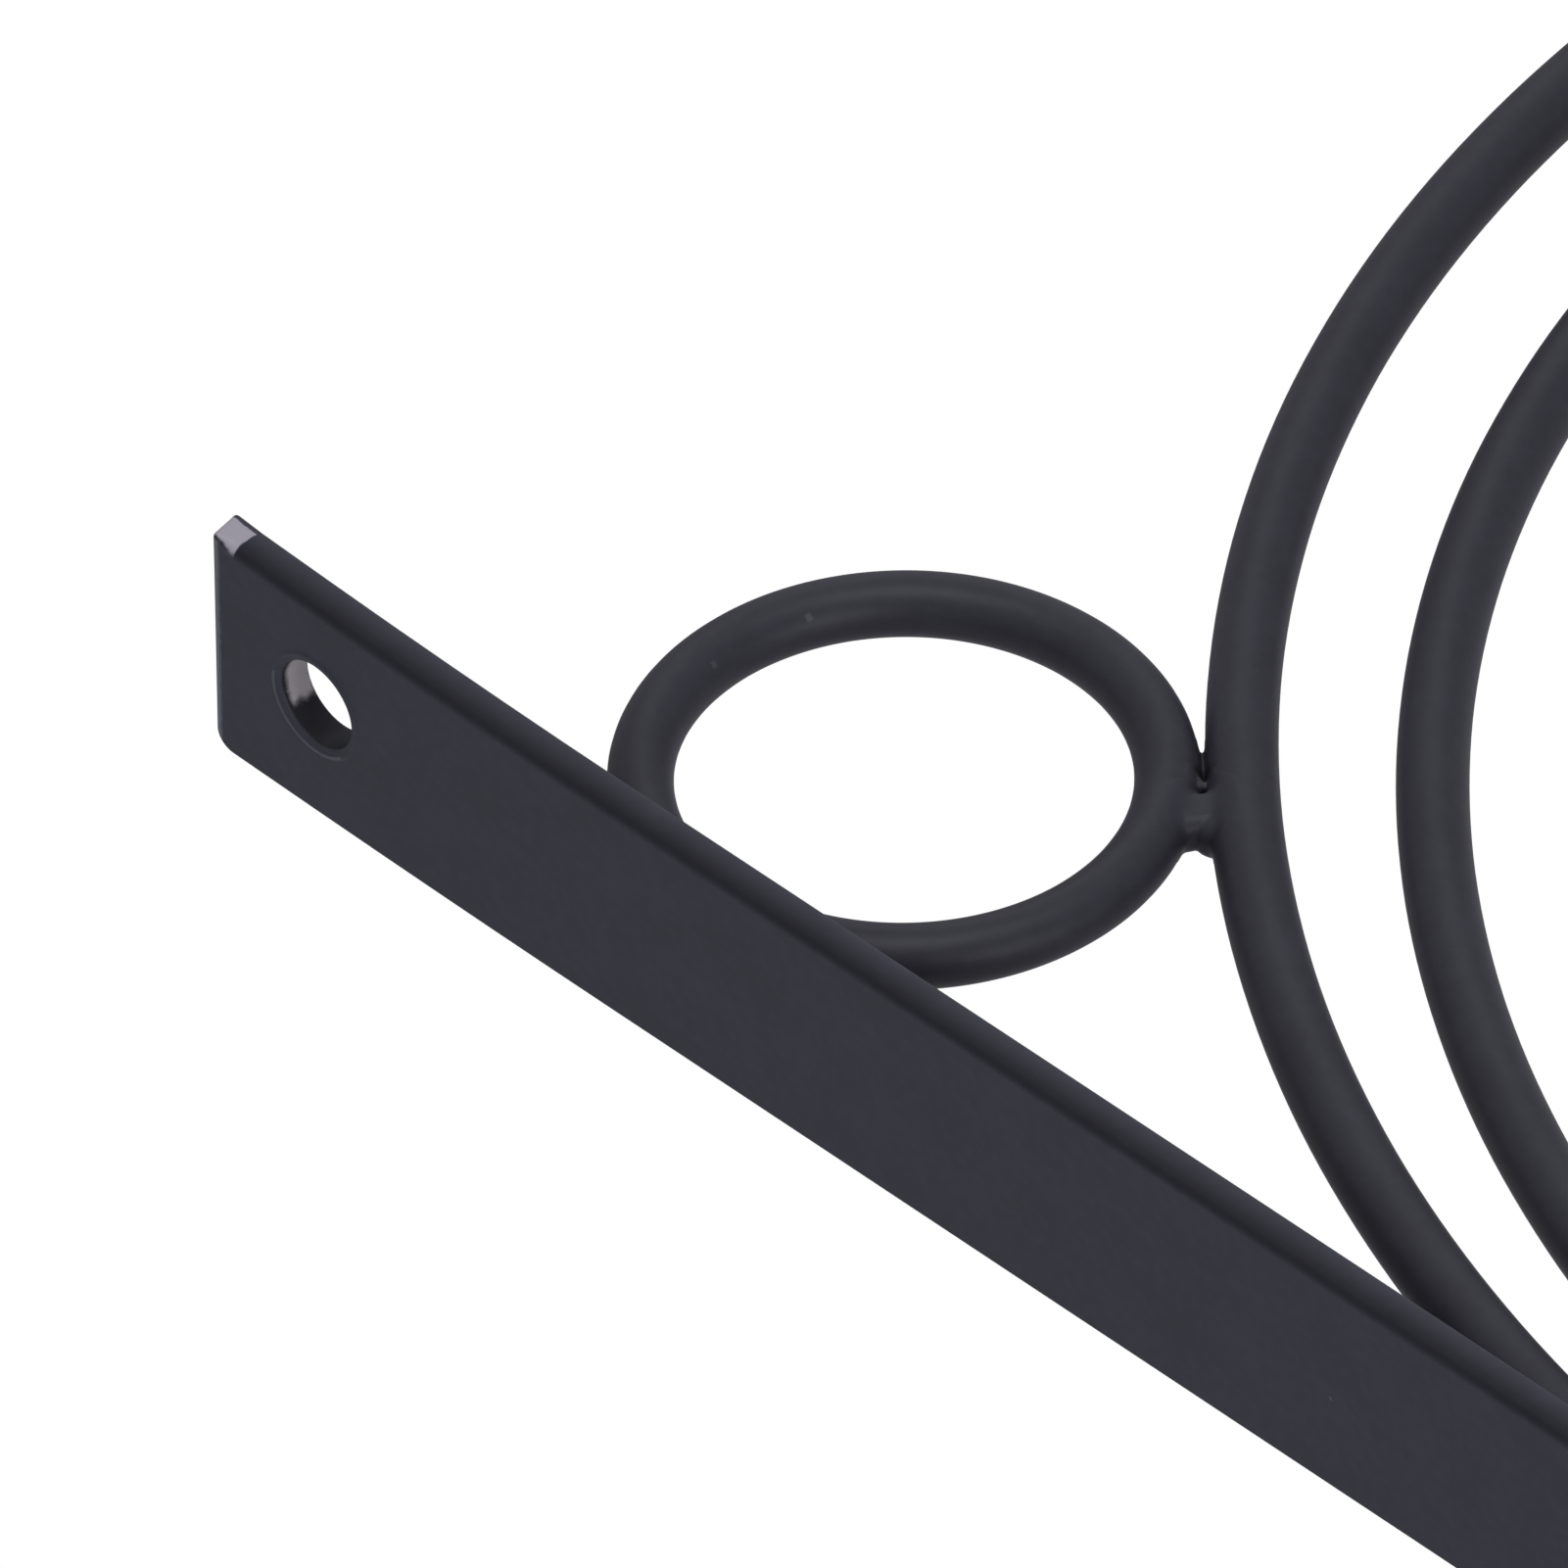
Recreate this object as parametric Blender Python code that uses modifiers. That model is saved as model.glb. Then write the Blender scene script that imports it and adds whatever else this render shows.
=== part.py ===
"""Wall bracket for a hanging plant, welded from flat bar and round rod.

The frame's origin lies on the wall, on the back face of the wall bar and half way up it.
+X points out of the wall, +Z up, and +Y across the bar. All lengths are in metres.
"""

import math

import bmesh
import bpy
import numpy as np
from mathutils import Matrix, Vector

MM = 0.001

# Flat bar, used upright on the wall and again as the arm.
BAR_WIDTH = 20.0 * MM
BAR_THICKNESS = 3.0 * MM
BAR_EDGE_RADIUS = 0.5 * MM
BAR_EDGE_STEPS = 2
WALL_BAR_LENGTH = 320.0 * MM
ROUNDED_CORNER = 1.6 * MM
SQUARE_CORNER = 0.4 * MM
CORNER_STEPS = 4

# Screw holes, one near each end of the wall bar.
HOLE_DIAMETER = 8.0 * MM
HOLE_FROM_END = 10.4 * MM
HOLE_SIDES = 32

# Round rod, bent into rings that lie in the plane Y = 0.
ROD_DIAMETER = 5.5 * MM
SMALL_ROD_DIAMETER = 5.0 * MM
OUTER_RING_RADIUS = 133.0 * MM
SMALL_RING_RADIUS = 19.6 * MM
# The two big rings are bent by hand and are this share out of round, in three slow swells.
BEND_UNEVENNESS = 0.012
SWELLS = 3
# How far the inner ring's middle is moved from the outer ring's: up, and back to the wall.
INNER_RING_RISE = 5.35 * MM
INNER_RING_SETBACK = 1.41 * MM
RING_STEPS = 88
SMALL_RING_STEPS = 48
ROD_SIDES_RESOLUTION = 3

# Hook of the same rod, under the arm's free end.
ARM_PAST_SMALL_RING = 46.8 * MM
HOOK_SHANK_UNDER_ARM = 22.0 * MM
HOOK_SHANK_PAST_ARM = 2.0 * MM
HOOK_SHOULDER_RADIUS = 8.0 * MM
HOOK_DROP = 10.0 * MM
HOOK_CUP_RADIUS = 11.0 * MM
HOOK_TIP_RISE = 8.0 * MM
HOOK_FLARE_RADIUS = 14.0 * MM
HOOK_FLARE_ANGLE = math.radians(28.0)
HOOK_SHOULDER_STEPS = 6
HOOK_CUP_STEPS = 15
HOOK_FLARE_STEPS = 3

# Pieces that touch are modelled this far apart, and a weld stops this far from its neighbour.
TOUCH_GAP = 0.3 * MM
WELD_GAP = 0.25 * MM

# Weld beads, as half axes: along the joint, out from the neighbour, and across.
SIDE_BEAD = (5.0 * MM, 1.7 * MM, 1.5 * MM)
WEB_BEAD = (4.4 * MM, 2.3 * MM, 2.2 * MM)
CORNER_BEAD = (8.5 * MM, 1.9 * MM, 1.9 * MM)
HOOK_BEAD = (9.0 * MM, 1.7 * MM, 1.5 * MM)
# The web between a small ring and the outer ring sits this far from the point of contact.
WEB_OFFSET = 4.6 * MM
SIDE_BEAD_OFFSET = 2.3 * MM
SIDE_BEAD_HEIGHT = 1.1 * MM
BEAD_SEGMENTS = 12
BEAD_RINGS = 8

CURVE_SAMPLES = 1440
OUT = Vector((1.0, 0.0, 0.0))
ACROSS = Vector((0.0, 1.0, 0.0))
UP = Vector((0.0, 0.0, 1.0))


def clear_scene():
    for obj in list(bpy.data.objects):
        bpy.data.objects.remove(obj, do_unlink=True)


def new_collection(name):
    collection = bpy.data.collections.new(name)
    bpy.context.scene.collection.children.link(collection)
    return collection


def powder_coat(name, grey, roughness):
    """Satin black powder coating over steel, a little blue."""
    material = bpy.data.materials.new(name)
    material.use_nodes = True
    shader = material.node_tree.nodes["Principled BSDF"]
    shader.inputs["Base Color"].default_value = (grey * 0.96, grey, grey * 1.12, 1.0)
    shader.inputs["Roughness"].default_value = roughness
    shader.inputs["Metallic"].default_value = 0.0
    return material


def mesh_object(name, mesh, collection, material=None):
    obj = bpy.data.objects.new(name, mesh)
    collection.objects.link(obj)
    if material is not None:
        mesh.materials.append(material)
    return obj


def hide_helper(obj):
    obj.hide_render = True
    obj.display_type = "WIRE"
    return obj


def ring_line(centre, radius, unevenness, count):
    """Centre line of a ring as (x, z) rows. Angle 0 points up and a quarter turn points out."""
    angles = np.linspace(0.0, 2.0 * math.pi, count, endpoint=False)
    radii = radius * (1.0 - unevenness * np.sin(SWELLS * angles))
    return np.array(centre) + np.stack([radii * np.sin(angles), radii * np.cos(angles)], axis=1)


def distance_to(line, point):
    return float(np.linalg.norm(line - np.array(point), axis=1).min())


def slide_to_contact(line, point_at, near, far, distance):
    """Halves a range of positions until point_at(position) is the given distance from a line."""
    for _ in range(50):
        middle = 0.5 * (near + far)
        if distance_to(line, point_at(middle)) > distance:
            near = middle
        else:
            far = middle
    return 0.5 * (near + far)


class Layout:
    """Where every ring, bar and joint lies, worked out from the sizes above."""

    def __init__(self):
        rod = ROD_DIAMETER / 2
        small_rod = SMALL_ROD_DIAMETER / 2
        half_length = WALL_BAR_LENGTH / 2

        # The outer ring is centred on the bar's middle and touches the bar's front face.
        loose = ring_line((0.0, 0.0), OUTER_RING_RADIUS, BEND_UNEVENNESS, CURVE_SAMPLES)
        middle_x = BAR_THICKNESS + TOUCH_GAP + rod - loose[:, 0].min()
        self.outer_centre = (middle_x, 0.0)
        self.outer_line = ring_line(self.outer_centre, OUTER_RING_RADIUS, BEND_UNEVENNESS, CURVE_SAMPLES)

        # The inner ring touches the outer ring from inside, under the arm.
        self.inner_centre = (middle_x - INNER_RING_SETBACK, INNER_RING_RISE)
        between_rods = ROD_DIAMETER + TOUCH_GAP
        self.inner_radius = OUTER_RING_RADIUS - between_rods - INNER_RING_RISE
        for _ in range(30):
            line = ring_line(self.inner_centre, self.inner_radius, BEND_UNEVENNESS, CURVE_SAMPLES)
            spare = np.linalg.norm(line[:, None, :] - self.outer_line[None, ::4, :], axis=2).min() - between_rods
            self.inner_radius += float(spare)
        self.inner_line = ring_line(self.inner_centre, self.inner_radius, BEND_UNEVENNESS, CURVE_SAMPLES)

        # The arm lies on top of the outer ring.
        self.arm_underside = float(self.outer_line[:, 1].max()) + rod + TOUCH_GAP
        self.arm_middle_z = self.arm_underside + BAR_THICKNESS / 2

        # Each small ring fits into the corner between a bar and the outer ring.
        reach = SMALL_RING_RADIUS + small_rod + rod + TOUCH_GAP
        off_bar = TOUCH_GAP + small_rod + SMALL_RING_RADIUS
        wall_x = BAR_THICKNESS + off_bar
        wall_z = slide_to_contact(self.outer_line, lambda z: (wall_x, z), -half_length, -half_length / 2, reach)
        self.wall_small_centre = (wall_x, wall_z)
        arm_z = self.arm_underside - off_bar
        arm_x = slide_to_contact(
            self.outer_line, lambda x: (x, arm_z), middle_x + 1.2 * OUTER_RING_RADIUS, middle_x, reach
        )
        self.arm_small_centre = (arm_x, arm_z)

        self.arm_start = BAR_THICKNESS + TOUCH_GAP
        self.arm_end = arm_x + ARM_PAST_SMALL_RING
        self.shank_z = self.arm_underside - TOUCH_GAP - rod

    def touch_on_outer(self, small_centre):
        """(contact point, unit vector along the joint) between a small ring and the outer ring."""
        gaps = np.linalg.norm(self.outer_line - np.array(small_centre), axis=1)
        nearest = self.outer_line[int(gaps.argmin())]
        towards = Vector((nearest[0] - small_centre[0], 0.0, nearest[1] - small_centre[1])).normalized()
        contact = Vector((small_centre[0], 0.0, small_centre[1])) + towards * (
            SMALL_RING_RADIUS + SMALL_ROD_DIAMETER / 2 + TOUCH_GAP / 2
        )
        return contact, towards

    def inner_touch(self):
        """(contact point, unit vector from the inner ring's middle) where the big rings touch."""
        gaps = np.linalg.norm(self.inner_line[:, None, :] - self.outer_line[None, ::4, :], axis=2)
        row = int(gaps.min(axis=1).argmin())
        point = self.inner_line[row]
        away = Vector((point[0] - self.inner_centre[0], 0.0, point[1] - self.inner_centre[1])).normalized()
        return Vector((point[0], 0.0, point[1])) + away * (ROD_DIAMETER + TOUCH_GAP) / 2, away


def flat_bar(name, size, corner_radii, collection, material):
    """A bar centred on the origin, with its length on Z, width on Y and thickness on X.

    corner_radii gives the radius in the bar's outline for its +Y and its -Y corners.
    """
    bm = bmesh.new()
    bmesh.ops.create_cube(bm, size=1.0, matrix=Matrix.Diagonal((*size, 1.0)))
    for side, radius in zip((1, -1), corner_radii):
        corners = [
            edge
            for edge in bm.edges
            if abs((edge.verts[0].co - edge.verts[1].co).x) > size[0] / 2 and edge.verts[0].co.y * side > 0
        ]
        bmesh.ops.bevel(bm, geom=corners, offset=radius, segments=CORNER_STEPS, profile=0.5, affect="EDGES")
    mesh = bpy.data.meshes.new(name)
    bm.to_mesh(mesh)
    bm.free()
    obj = mesh_object(name, mesh, collection, material)
    rounding = obj.modifiers.new("rolled edges", "BEVEL")
    rounding.width = BAR_EDGE_RADIUS
    rounding.segments = BAR_EDGE_STEPS
    rounding.limit_method = "ANGLE"
    rounding.angle_limit = math.radians(50.0)
    return obj


def rod_along(name, points, radius, closed, collection, material=None):
    """A rod bent along (x, z) points in the plane Y = 0, as a closed mesh."""
    curve = bpy.data.curves.new(name, "CURVE")
    curve.dimensions = "3D"
    curve.bevel_depth = radius
    curve.bevel_resolution = ROD_SIDES_RESOLUTION
    curve.use_fill_caps = not closed
    spline = curve.splines.new("POLY")
    spline.points.add(len(points) - 1)
    for place, (x, z) in zip(spline.points, points):
        place.co = (x, 0.0, z, 1.0)
    spline.use_cyclic_u = closed
    bent = bpy.data.objects.new(name + "_line", curve)
    collection.objects.link(bent)
    bpy.context.view_layer.update()
    graph = bpy.context.evaluated_depsgraph_get()
    mesh = bpy.data.meshes.new_from_object(bent.evaluated_get(graph))
    bpy.data.objects.remove(bent, do_unlink=True)
    bm = bmesh.new()
    bm.from_mesh(mesh)
    bmesh.ops.remove_doubles(bm, verts=bm.verts, dist=0.001 * MM)
    bmesh.ops.recalc_face_normals(bm, faces=bm.faces)
    bm.to_mesh(mesh)
    bm.free()
    mesh.name = name
    mesh.shade_smooth()
    return mesh_object(name, mesh, collection, material)


def bead(name, centre, along, outwards, half_axes, cutters):
    """A weld bead: an egg shape that a piece is joined with and its neighbours are cut from."""
    across = along.cross(outwards).normalized()
    turn = Matrix((along, outwards, across)).transposed().to_4x4()
    place = Matrix.Translation(centre) @ turn @ Matrix.Diagonal((*half_axes, 1.0))
    bm = bmesh.new()
    bmesh.ops.create_uvsphere(
        bm, u_segments=BEAD_SEGMENTS, v_segments=BEAD_RINGS, radius=1.0, matrix=place
    )
    bmesh.ops.recalc_face_normals(bm, faces=bm.faces)
    mesh = bpy.data.meshes.new(name)
    bm.to_mesh(mesh)
    bm.free()
    return hide_helper(mesh_object(name, mesh, cutters))


def side_beads(name, contact, along, away, half_axes, cutters):
    """Two beads, one on each side of a rod that lies along a neighbour."""
    beads = []
    for label, side in (("right", 1.0), ("left", -1.0)):
        centre = contact + ACROSS * side * SIDE_BEAD_OFFSET + away * SIDE_BEAD_HEIGHT
        beads.append(bead(f"{name}_{label}", centre, along, away, half_axes, cutters))
    return beads


def join_and_trim(obj, beads, neighbours):
    """Joins the beads to a piece, then cuts the neighbours' room out of them."""
    for operation, others in (("UNION", beads), ("DIFFERENCE", neighbours)):
        for other in others:
            modifier = obj.modifiers.new(f"{operation.lower()} {other.name}", "BOOLEAN")
            modifier.operation = operation
            modifier.object = other


def box_room(name, centre, size, cutters):
    """The room that a bar takes, with the weld gap round it."""
    bm = bmesh.new()
    grown = [length + 2.0 * WELD_GAP for length in size]
    place = Matrix.Translation(centre) @ Matrix.Diagonal((*grown, 1.0))
    bmesh.ops.create_cube(bm, size=1.0, matrix=place)
    mesh = bpy.data.meshes.new(name)
    bm.to_mesh(mesh)
    bm.free()
    return hide_helper(mesh_object(name, mesh, cutters))


def screw_hole(name, z, cutters):
    bm = bmesh.new()
    bmesh.ops.create_cone(
        bm,
        cap_ends=True,
        segments=HOLE_SIDES,
        radius1=HOLE_DIAMETER / 2,
        radius2=HOLE_DIAMETER / 2,
        depth=3.0 * BAR_THICKNESS,
        matrix=Matrix.Translation((BAR_THICKNESS / 2, 0.0, z)) @ Matrix.Rotation(math.pi / 2, 4, "Y"),
    )
    mesh = bpy.data.meshes.new(name)
    bm.to_mesh(mesh)
    bm.free()
    return hide_helper(mesh_object(name, mesh, cutters))


def arc(centre, radius, start, end, steps):
    """Points of an arc in (x, z), angles measured from +X towards +Z, without its first point."""
    angles = np.linspace(start, end, steps + 1)[1:]
    return [(centre[0] + radius * math.cos(a), centre[1] + radius * math.sin(a)) for a in angles]


def hook_line(layout):
    """Centre line of the hook: shank, shoulder, drop, cup, and a tip that flares outwards."""
    quarter = math.pi / 2
    z = layout.shank_z
    shank_end = layout.arm_end + HOOK_SHANK_PAST_ARM
    points = [(layout.arm_end - HOOK_SHANK_UNDER_ARM, z), (layout.arm_end - HOOK_SHANK_UNDER_ARM / 2, z)]
    points.append((shank_end, z))
    shoulder = (shank_end, z - HOOK_SHOULDER_RADIUS)
    points += arc(shoulder, HOOK_SHOULDER_RADIUS, quarter, 0.0, HOOK_SHOULDER_STEPS)
    cup = (shank_end + HOOK_SHOULDER_RADIUS + HOOK_CUP_RADIUS, shoulder[1] - HOOK_DROP)
    points += [(cup[0] - HOOK_CUP_RADIUS, cup[1])]
    points += arc(cup, HOOK_CUP_RADIUS, 2 * quarter, 4 * quarter, HOOK_CUP_STEPS)
    tip_x = cup[0] + HOOK_CUP_RADIUS
    points.append((tip_x, cup[1] + HOOK_TIP_RISE))
    flare = (tip_x + HOOK_FLARE_RADIUS, cup[1] + HOOK_TIP_RISE)
    points += arc(flare, HOOK_FLARE_RADIUS, math.pi, math.pi - HOOK_FLARE_ANGLE, HOOK_FLARE_STEPS)
    return points


def build_wall_bar(collection, cutters):
    size = (BAR_THICKNESS, BAR_WIDTH, WALL_BAR_LENGTH)
    coat = powder_coat("wall_bar_coat", 0.040, 0.55)
    bar = flat_bar("wall_bar", size, (SQUARE_CORNER, ROUNDED_CORNER), collection, coat)
    bar.location = (BAR_THICKNESS / 2, 0.0, 0.0)
    hole_z = WALL_BAR_LENGTH / 2 - HOLE_FROM_END
    holes = [screw_hole("lower_hole", -hole_z, cutters), screw_hole("upper_hole", hole_z, cutters)]
    join_and_trim(bar, [], holes)


def build_arm(layout, rooms, collection, cutters):
    length = layout.arm_end - layout.arm_start
    coat = powder_coat("arm_coat", 0.040, 0.55)
    arm = flat_bar("arm", (BAR_THICKNESS, BAR_WIDTH, length), (ROUNDED_CORNER, ROUNDED_CORNER), collection, coat)
    arm.rotation_euler = (0.0, math.pi / 2, 0.0)
    arm.location = ((layout.arm_start + layout.arm_end) / 2, 0.0, layout.arm_middle_z)
    beads = []
    for label, side in (("over", 1.0), ("under", -1.0)):
        face_z = layout.arm_middle_z + side * BAR_THICKNESS / 2
        corner = Vector((BAR_THICKNESS, 0.0, face_z)) + (OUT + UP * side) * 0.6 * MM
        slope = (OUT + UP * side).normalized()
        beads.append(bead(f"corner_weld_{label}", corner, ACROSS, slope, CORNER_BEAD, cutters))
    join_and_trim(arm, beads, [rooms["wall_bar"]])


def build_outer_ring(layout, rooms, collection, cutters):
    points = ring_line(layout.outer_centre, OUTER_RING_RADIUS, BEND_UNEVENNESS, RING_STEPS)
    coat = powder_coat("outer_ring_coat", 0.036, 0.5)
    ring = rod_along("outer_ring", points, ROD_DIAMETER / 2, True, collection, coat)
    wall_row = layout.outer_line[int(layout.outer_line[:, 0].argmin())]
    arm_row = layout.outer_line[int(layout.outer_line[:, 1].argmax())]
    wall_contact = Vector((BAR_THICKNESS, 0.0, wall_row[1]))
    arm_contact = Vector((arm_row[0], 0.0, layout.arm_underside))
    beads = side_beads("wall_weld", wall_contact, UP, OUT, SIDE_BEAD, cutters)
    beads += side_beads("arm_weld", arm_contact, OUT, -UP, SIDE_BEAD, cutters)
    join_and_trim(ring, beads, [rooms["wall_bar"], rooms["arm"]])


def build_inner_ring(layout, rooms, collection, cutters):
    points = ring_line(layout.inner_centre, layout.inner_radius, BEND_UNEVENNESS, RING_STEPS)
    coat = powder_coat("inner_ring_coat", 0.036, 0.5)
    ring = rod_along("inner_ring", points, ROD_DIAMETER / 2, True, collection, coat)
    contact, away = layout.inner_touch()
    along = away.cross(ACROSS)
    beads = []
    for label, side in (("right", 1.0), ("left", -1.0)):
        centre = contact + ACROSS * side * 1.6 * MM
        beads.append(bead(f"ring_weld_{label}", centre, along, away, SIDE_BEAD, cutters))
    join_and_trim(ring, beads, [rooms["outer_ring"]])


def build_small_ring(name, centre, bar_contact, bar_normal, room, layout, rooms, collection, cutters):
    """A small ring with the web that joins it to the outer ring and the beads that join it to a bar."""
    points = ring_line(centre, SMALL_RING_RADIUS, 0.0, SMALL_RING_STEPS)
    coat = powder_coat(f"{name}_coat", 0.036, 0.5)
    ring = rod_along(name, points, SMALL_ROD_DIAMETER / 2, True, collection, coat)
    contact, towards = layout.touch_on_outer(centre)
    along = towards.cross(ACROSS)
    if along.dot(bar_normal) > 0:
        along = -along
    web = bead(f"{name}_web", contact + along * WEB_OFFSET, along, towards, WEB_BEAD, cutters)
    bar_along = bar_normal.cross(ACROSS)
    beads = side_beads(f"{name}_bar_weld", bar_contact, bar_along, bar_normal, SIDE_BEAD, cutters)
    join_and_trim(ring, [web] + beads, [rooms[room], rooms["outer_ring"]])


def build_hook(layout, rooms, collection, cutters):
    coat = powder_coat("hook_coat", 0.036, 0.5)
    hook = rod_along("hook", hook_line(layout), ROD_DIAMETER / 2, False, collection, coat)
    contact = Vector((layout.arm_end - HOOK_SHANK_UNDER_ARM / 2, 0.0, layout.arm_underside))
    beads = side_beads("hook_weld", contact, OUT, -UP, HOOK_BEAD, cutters)
    join_and_trim(hook, beads, [rooms["arm"]])


def build_rooms(layout, cutters):
    """The space that a weld leaves free: each bar and the outer ring, a little larger than they are."""
    arm_length = layout.arm_end - layout.arm_start
    arm_centre = ((layout.arm_start + layout.arm_end) / 2, 0.0, layout.arm_middle_z)
    points = ring_line(layout.outer_centre, OUTER_RING_RADIUS, BEND_UNEVENNESS, RING_STEPS)
    ring_room = rod_along("outer_ring_room", points, ROD_DIAMETER / 2 + WELD_GAP, True, cutters)
    return {
        "wall_bar": box_room(
            "wall_bar_room", (BAR_THICKNESS / 2, 0.0, 0.0), (BAR_THICKNESS, BAR_WIDTH, WALL_BAR_LENGTH), cutters
        ),
        "arm": box_room("arm_room", arm_centre, (arm_length, BAR_WIDTH, BAR_THICKNESS), cutters),
        "outer_ring": hide_helper(ring_room),
    }


def main():
    clear_scene()
    parts = new_collection("plant_hanger_bracket")
    cutters = new_collection("cutters")
    layout = Layout()
    rooms = build_rooms(layout, cutters)
    build_wall_bar(parts, cutters)
    build_arm(layout, rooms, parts, cutters)
    build_outer_ring(layout, rooms, parts, cutters)
    build_inner_ring(layout, rooms, parts, cutters)
    wall_contact = Vector((BAR_THICKNESS, 0.0, layout.wall_small_centre[1]))
    arm_contact = Vector((layout.arm_small_centre[0], 0.0, layout.arm_underside))
    shared = (layout, rooms, parts, cutters)
    build_small_ring("wall_small_ring", layout.wall_small_centre, wall_contact, OUT, "wall_bar", *shared)
    build_small_ring("arm_small_ring", layout.arm_small_centre, arm_contact, -UP, "arm", *shared)
    build_hook(layout, rooms, parts, cutters)


main()
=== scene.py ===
"""Looks of a welded wall bracket for a hanging plant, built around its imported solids.

The frame's origin lies on the wall, on the back face of the wall bar and half way up it. +X points
out of the wall, +Z up and +Y across the bar. Lengths are in metres, written as a number times MM.
"""

import logging
import math
from dataclasses import dataclass, field
from enum import Enum
from typing import Callable, Optional, Sequence, Union

import bmesh
import bpy
import numpy as np
from mathutils import Matrix, Vector

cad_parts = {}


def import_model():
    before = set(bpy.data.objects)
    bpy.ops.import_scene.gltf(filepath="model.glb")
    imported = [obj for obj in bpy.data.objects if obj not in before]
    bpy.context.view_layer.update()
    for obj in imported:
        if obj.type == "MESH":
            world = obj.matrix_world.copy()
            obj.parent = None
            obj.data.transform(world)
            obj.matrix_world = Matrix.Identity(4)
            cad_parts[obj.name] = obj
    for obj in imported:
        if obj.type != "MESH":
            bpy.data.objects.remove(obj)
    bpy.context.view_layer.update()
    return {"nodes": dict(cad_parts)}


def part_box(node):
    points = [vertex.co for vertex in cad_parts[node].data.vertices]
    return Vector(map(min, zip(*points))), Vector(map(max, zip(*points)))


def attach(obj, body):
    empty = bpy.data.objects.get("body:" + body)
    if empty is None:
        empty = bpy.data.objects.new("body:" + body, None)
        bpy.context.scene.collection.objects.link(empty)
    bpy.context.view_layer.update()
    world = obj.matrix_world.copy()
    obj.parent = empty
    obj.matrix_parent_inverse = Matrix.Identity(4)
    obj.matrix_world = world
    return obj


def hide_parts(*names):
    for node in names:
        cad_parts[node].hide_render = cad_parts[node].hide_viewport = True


MM = 0.001
TURN = 2.0 * math.pi
ROOT_BODY = "root"
LOG = logging.getLogger("bracket")

# Painted shade: a point attribute that darkens the coat along the bars' edges and down the holes, standing in
# for the shade there.
PAINTED_SHADE_ATTRIBUTE = "edge_shade"
LINE_SAMPLES = 1440
COARSE_SAMPLES = LINE_SAMPLES // 4

Point = tuple[float, float]
Colour = tuple[float, float, float]
Place = tuple[float, float, float]

# The bars take the rods' black coat painted 40 to 50% lighter: a lit copy of the same paint, as painted light
# for the light that their broad faces catch.
BAR_COLOUR_WITH_PAINTED_LIGHT: Colour = (0.0466, 0.0479, 0.0630)
BAR_MOTTLE_WITH_PAINTED_LIGHT: Colour = (0.0580, 0.0594, 0.0776)
COOL_LIGHT: Colour = (0.96, 0.97, 1.07)
WHITE: Colour = (1.0, 1.0, 1.0)
OUT = Vector((1.0, 0.0, 0.0))
ACROSS = Vector((0.0, 1.0, 0.0))
UP = Vector((0.0, 0.0, 1.0))


class TreeKind(Enum):
    """The two kinds of node tree that are built here."""

    GEOMETRY = "GeometryNodeTree"
    SHADER = "ShaderNodeTree"


class Socket(Enum):
    """The socket types of a tree's own inputs and outputs."""

    GEOMETRY = "NodeSocketGeometry"
    MATERIAL = "NodeSocketMaterial"
    VALUE = "NodeSocketFloat"
    COUNT = "NodeSocketInt"
    VECTOR = "NodeSocketVector"


class Field:
    """A socket in a tree, with arithmetic that adds math nodes to that tree."""

    def __init__(self, tree: "Tree", socket: bpy.types.NodeSocket) -> None:
        """Keeps the tree and the socket."""
        self.tree = tree
        self.socket = socket

    def __add__(self, other: "Amount") -> "Field":
        """Sum of two values."""
        return self.tree.math("ADD", self, other)

    def __radd__(self, other: "Amount") -> "Field":
        """Sum of two values."""
        return self.tree.math("ADD", other, self)

    def __sub__(self, other: "Amount") -> "Field":
        """Difference of two values."""
        return self.tree.math("SUBTRACT", self, other)

    def __rsub__(self, other: "Amount") -> "Field":
        """Difference of two values."""
        return self.tree.math("SUBTRACT", other, self)

    def __mul__(self, other: "Amount") -> "Field":
        """Product of two values."""
        return self.tree.math("MULTIPLY", self, other)

    def __rmul__(self, other: "Amount") -> "Field":
        """Product of two values."""
        return self.tree.math("MULTIPLY", other, self)

    def __truediv__(self, other: "Amount") -> "Field":
        """Quotient of two values."""
        return self.tree.math("DIVIDE", self, other)

    def sin(self) -> "Field":
        """Sine of an angle in radians."""
        return self.tree.math("SINE", self)

    def cos(self) -> "Field":
        """Cosine of an angle in radians."""
        return self.tree.math("COSINE", self)

    def root(self) -> "Field":
        """Square root."""
        return self.tree.math("SQRT", self)

    def size(self) -> "Field":
        """Value without its sign."""
        return self.tree.math("ABSOLUTE", self)

    def at_least(self, other: "Amount") -> "Field":
        """The larger of two values."""
        return self.tree.math("MAXIMUM", self, other)

    def at_most(self, other: "Amount") -> "Field":
        """The smaller of two values."""
        return self.tree.math("MINIMUM", self, other)


Amount = Union[float, Field]


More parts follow.
